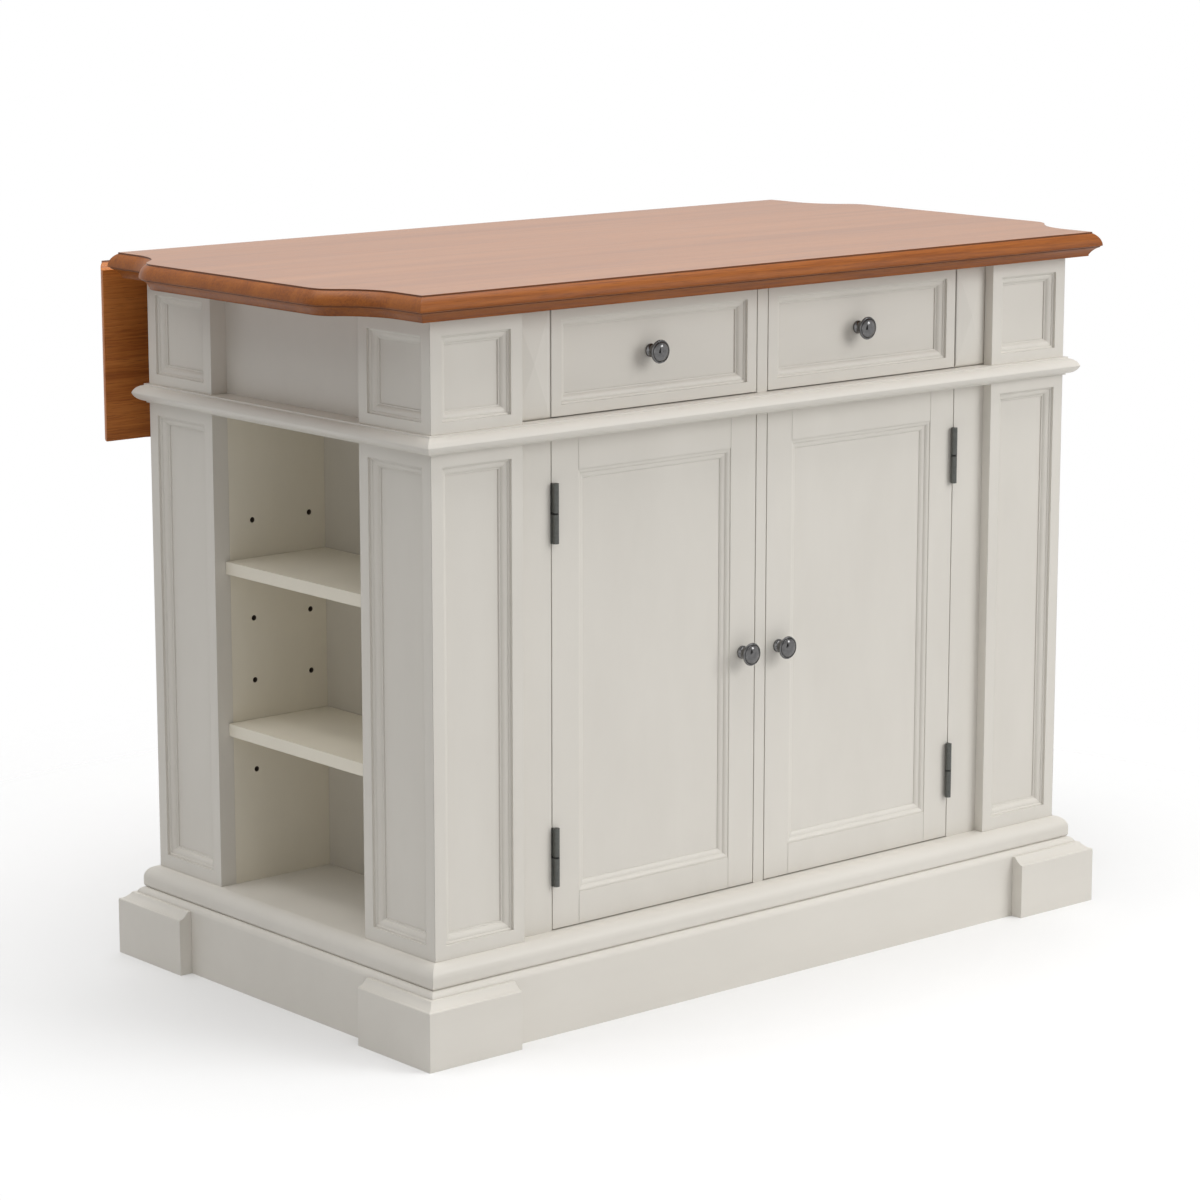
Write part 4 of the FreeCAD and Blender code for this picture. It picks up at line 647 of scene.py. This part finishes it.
def turned_piece(profile, base, outward, segments):
    """A profile turned about an axis through base that points along outward."""
    turn_to = Vector((0, 0, 1)).rotation_difference(Vector(outward)).to_matrix()
    points, faces = [], []
    rim = [p for p in profile if p[0] > 1e-6]
    for radius, height in rim:
        for k in range(segments):
            angle = math.tau * k / segments
            spot = Vector((radius * math.cos(angle), radius * math.sin(angle), height)) * MM
            points.append(tuple(base + turn_to @ spot))
    for ring in range(len(rim) - 1):
        for k in range(segments):
            a, b = ring * segments + k, ring * segments + (k + 1) % segments
            faces.append((a, b, b + segments, a + segments))
    for end, ring, order in ((profile[0], 0, -1), (profile[-1], len(rim) - 1, 1)):
        middle = len(points)
        points.append(tuple(base + turn_to @ (Vector((0.0, 0.0, end[1])) * MM)))
        for k in range(segments):
            a, b = ring * segments + k, ring * segments + (k + 1) % segments
            faces.append((a, b, middle) if order == 1 else (b, a, middle))
    return points, faces


PAN_HEAD = [(0.0, 0.0), (4.0, 0.0), (4.0, 0.9), (3.5, 1.6), (2.4, 1.95), (1.2, 1.98), (1.0, 1.2),
            (0.0, 1.1)]
KNOB_SEGMENTS, SCREW_SEGMENTS = 72, 32


def knob_piece(side, place, base, fixing_out):
    """One knob with its machine screw, whose head is fixing_out behind the knob's foot."""
    body = "%s_%s" % (side, place)
    points, faces = turned_piece(knob_profile(), base, front_way, KNOB_SEGMENTS)
    fixing = base + Vector((0, fixing_out * MM, 0))
    more, more_faces = turned_piece(PAN_HEAD, fixing, back_way, SCREW_SEGMENTS)
    shift = len(points)
    points += more
    faces += [tuple(index + shift for index in face) for face in more_faces]
    mesh = bpy.data.meshes.new(body + "_turned_knob")
    mesh.from_pydata(points, [], faces)
    mesh.polygons.foreach_set("use_smooth", [True] * len(mesh.polygons))
    mesh.set_sharp_from_angle(angle=math.radians(40))
    mesh.materials.append(gunmetal)
    piece = bpy.data.objects.new(body + "_turned_knob", mesh)
    bpy.context.collection.objects.link(piece)
    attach(piece, body)
    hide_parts(body + "_knob")


DOOR_KNOB_X, DOOR_KNOB_Z = 31.0, 422.0
DRAWER_KNOB_X, DRAWER_KNOB_Z = 175.5, 814.5
DRAWER_PANEL_Y = FRONT_Y + 11.0         # flat of a drawer front's recessed panel
DOOR_THICK, DRAWER_PANEL_THICK = 20.0, 7.0
for side, name in ((-1, "left"), (1, "right")):
    knob_piece(name, "door", placed(side * DOOR_KNOB_X, FRONT_Y, DOOR_KNOB_Z), DOOR_THICK)
    knob_piece(name, "drawer", placed(side * DRAWER_KNOB_X, DRAWER_PANEL_Y, DRAWER_KNOB_Z),
               DRAWER_PANEL_THICK)

# ------------------------------------------------------------------ floor, light and camera
# A white studio floor that thins out into the white room around it. One large soft light stands
# in front on the right, a weak one in front on the left, one high on the left and one overhead.
FLOOR_REACH = 2.2                   # half of its side, in metres
FLOOR_NEAR, FLOOR_FAR = 0.52, 1.5   # metres from the island's middle where it thins and is gone
FLOOR_WHITE = 0.86
floor_mesh = bpy.data.meshes.new("studio_floor")
floor_mesh.from_pydata([(across * FLOOR_REACH, deep * FLOOR_REACH, 0)
                        for across, deep in ((-1, -1), (1, -1), (1, 1), (-1, 1))], [],
                       [(0, 1, 2, 3)])
floor = bpy.data.objects.new("studio_floor", floor_mesh)
bpy.context.collection.objects.link(floor)
floor_white, floor_tree, floor_shader = new_finish("studio_white")
floor_shader.inputs["Base Color"].default_value = (FLOOR_WHITE, FLOOR_WHITE, FLOOR_WHITE, 1.0)
floor_shader.inputs["Roughness"].default_value = 0.9
floor_place = shader_node(floor_tree, "ShaderNodeTexCoord", -900, -300)
from_island = shader_node(floor_tree, "ShaderNodeVectorMath", -700, -300, operation="LENGTH")
floor_tree.links.new(floor_place.outputs["Object"], from_island.inputs[0])
thinned = ranged(floor_tree, from_island.outputs["Value"], (FLOOR_NEAR, FLOOR_FAR), (0.0, 1.0),
                 -500, -300)
open_room = shader_node(floor_tree, "ShaderNodeBsdfTransparent", -300, -400)
blend_out = shader_node(floor_tree, "ShaderNodeMixShader", 300, 0)
floor_tree.links.new(thinned, blend_out.inputs["Fac"])
floor_tree.links.new(floor_shader.outputs["BSDF"], blend_out.inputs[1])
floor_tree.links.new(open_room.outputs["BSDF"], blend_out.inputs[2])
floor_surface = floor_tree.nodes["Material Output"].inputs["Surface"]
floor_tree.links.new(blend_out.outputs["Shader"], floor_surface)
floor_mesh.materials.append(floor_white)

ROOM_ABOVE = 0.60               # light of the room from straight above
ROOM_BELOW = 0.55               # light that comes back from the ground beyond the floor
ROOM_BEHIND = 1.0               # how bright its walls look to the camera and in reflections
ROOM_CEILING = 0.30             # and how bright its ceiling looks in reflections
world = bpy.data.worlds.new("studio")
world.use_nodes = True
room = world.node_tree
rays = shader_node(room, "ShaderNodeLightPath", -700, 300)
toward = shader_node(room, "ShaderNodeTexCoord", -1100, -100)
split = shader_node(room, "ShaderNodeSeparateXYZ", -900, -100)
room.links.new(toward.outputs["Generated"], split.inputs["Vector"])
above = ranged(room, split.outputs["Z"], (0.25, 0.75), (0.0, ROOM_ABOVE), -700, -100)
below = ranged(room, split.outputs["Z"], (-0.02, 0.0), (ROOM_BELOW, 0.0), -700, -700)
around = shader_node(room, "ShaderNodeMath", -550, -200, operation="ADD")
room.links.new(above, around.inputs[0])
room.links.new(below, around.inputs[1])
mirrored = ranged(room, split.outputs["Z"], (0.25, 0.85), (ROOM_BEHIND, ROOM_CEILING), -700, -400)
lit = shader_node(room, "ShaderNodeMix", -400, 0, data_type="FLOAT")
room.links.new(rays.outputs["Is Glossy Ray"], lit.inputs["Factor"])
room.links.new(around.outputs["Value"], lit.inputs["A"])
room.links.new(mirrored, lit.inputs["B"])
strength = shader_node(room, "ShaderNodeMix", -200, 0, data_type="FLOAT")
strength.inputs["B"].default_value = ROOM_BEHIND
room.links.new(rays.outputs["Is Camera Ray"], strength.inputs["Factor"])
room.links.new(lit.outputs["Result"], strength.inputs["A"])
walls = room.nodes["Background"]
walls.inputs["Color"].default_value = (1.0, 1.0, 1.0, 1.0)
room.links.new(strength.outputs["Result"], walls.inputs["Strength"])
bpy.context.scene.world = world


def soft_light(name, place, target, size, power):
    """A square area light aimed at a point."""
    data = bpy.data.lights.new(name, "AREA")
    data.size = size
    data.energy = power
    lamp = bpy.data.objects.new(name, data)
    lamp.location = place
    lamp.rotation_euler = (Vector(target) - Vector(place)).to_track_quat("-Z", "Y").to_euler()
    bpy.context.collection.objects.link(lamp)
    return lamp


# Reflections, such as the knobs', show a small bright card in place of the whole front light, and a
# narrow black flag beside it.
FRONT_PLACE = (2.6, -3.6, 2.4)
FRONT_TARGET = (0.0, 0.0, 0.45)
CARD_HALF = 0.50                # half of the card's side, in metres
CARD_GLOW = 6.5
FLAG_CORNERS = [(0.85, -4.40, 0.0), (2.35, -3.80, 0.0), (1.70, -4.15, 2.1)]


def only_reflected(piece):
    """A piece of the studio that is seen in glossy surfaces and nowhere else."""
    bpy.context.collection.objects.link(piece)
    piece.visible_camera = False
    piece.visible_diffuse = False
    piece.visible_shadow = False


card_mesh = bpy.data.meshes.new("bright_card")
facing = (Vector(FRONT_TARGET) - Vector(FRONT_PLACE)).to_track_quat("-Z", "Y")
card_corners = [Vector(FRONT_PLACE) + facing @ Vector((across * CARD_HALF, high * CARD_HALF, 0.0))
                for across, high in ((-1, -1), (1, -1), (1, 1), (-1, 1))]
card_mesh.from_pydata([tuple(corner) for corner in card_corners], [], [(0, 1, 2, 3)])
card_white, _, card_shader = new_finish("card_white")
card_shader.inputs["Base Color"].default_value = (0.0, 0.0, 0.0, 1.0)
card_shader.inputs["Emission Color"].default_value = (1.0, 1.0, 1.0, 1.0)
card_shader.inputs["Emission Strength"].default_value = CARD_GLOW
card_mesh.materials.append(card_white)
only_reflected(bpy.data.objects.new("bright_card", card_mesh))
flag_mesh = bpy.data.meshes.new("black_flag")
flag_mesh.from_pydata(FLAG_CORNERS, [], [(0, 1, 2)])
flag_black, _, flag_shader = new_finish("flag_black")
flag_shader.inputs["Base Color"].default_value = (0.01, 0.01, 0.01, 1.0)
flag_shader.inputs["Roughness"].default_value = 1.0
flag_mesh.materials.append(flag_black)
only_reflected(bpy.data.objects.new("black_flag", flag_mesh))

# Each light has its place, the point that it looks at, its side in metres and its power in watts.
soft_light("overhead", (0.0, 0.0, 3.2), (0.0, 0.0, 0.0), 3.0, 86.0)
front_light = soft_light("front_right", FRONT_PLACE, FRONT_TARGET, 2.8, 113.0)
front_light.visible_glossy = False
soft_light("front_left", (-3.0, -2.2, 1.6), (-0.5, 0.2, 0.5), 3.0, 11.0)
soft_light("left_high", (-2.4, 0.9, 3.2), (-0.4, 0.0, 0.45), 2.0, 18.0)

# The camera was solved from the photograph. It stands in front on the left and isn't shifted.
CAMERA_PLACE = (-3.160356, -3.665336, 1.404892)
CAMERA_TURN = 40.572            # degrees, looking right of straight ahead
CAMERA_DIP = 11.257             # degrees, looking down
PICTURE_WIDE = 1200.0           # pixels
CAMERA_FOCAL = 3750.524         # in the same pixels
SENSOR_WIDE = 36.0              # millimetres
camera_data = bpy.data.cameras.new("camera")
camera_data.sensor_width = SENSOR_WIDE
camera_data.lens = SENSOR_WIDE * CAMERA_FOCAL / PICTURE_WIDE
camera_data.clip_end = 200.0
camera = bpy.data.objects.new("camera", camera_data)
camera.location = CAMERA_PLACE
turn, dip = math.radians(CAMERA_TURN), math.radians(CAMERA_DIP)
look = Vector((math.sin(turn) * math.cos(dip), math.cos(turn) * math.cos(dip), -math.sin(dip)))
camera.rotation_euler = look.to_track_quat("-Z", "Y").to_euler()
bpy.context.collection.objects.link(camera)
bpy.context.scene.camera = camera
bpy.context.scene.view_settings.view_transform = "Standard"
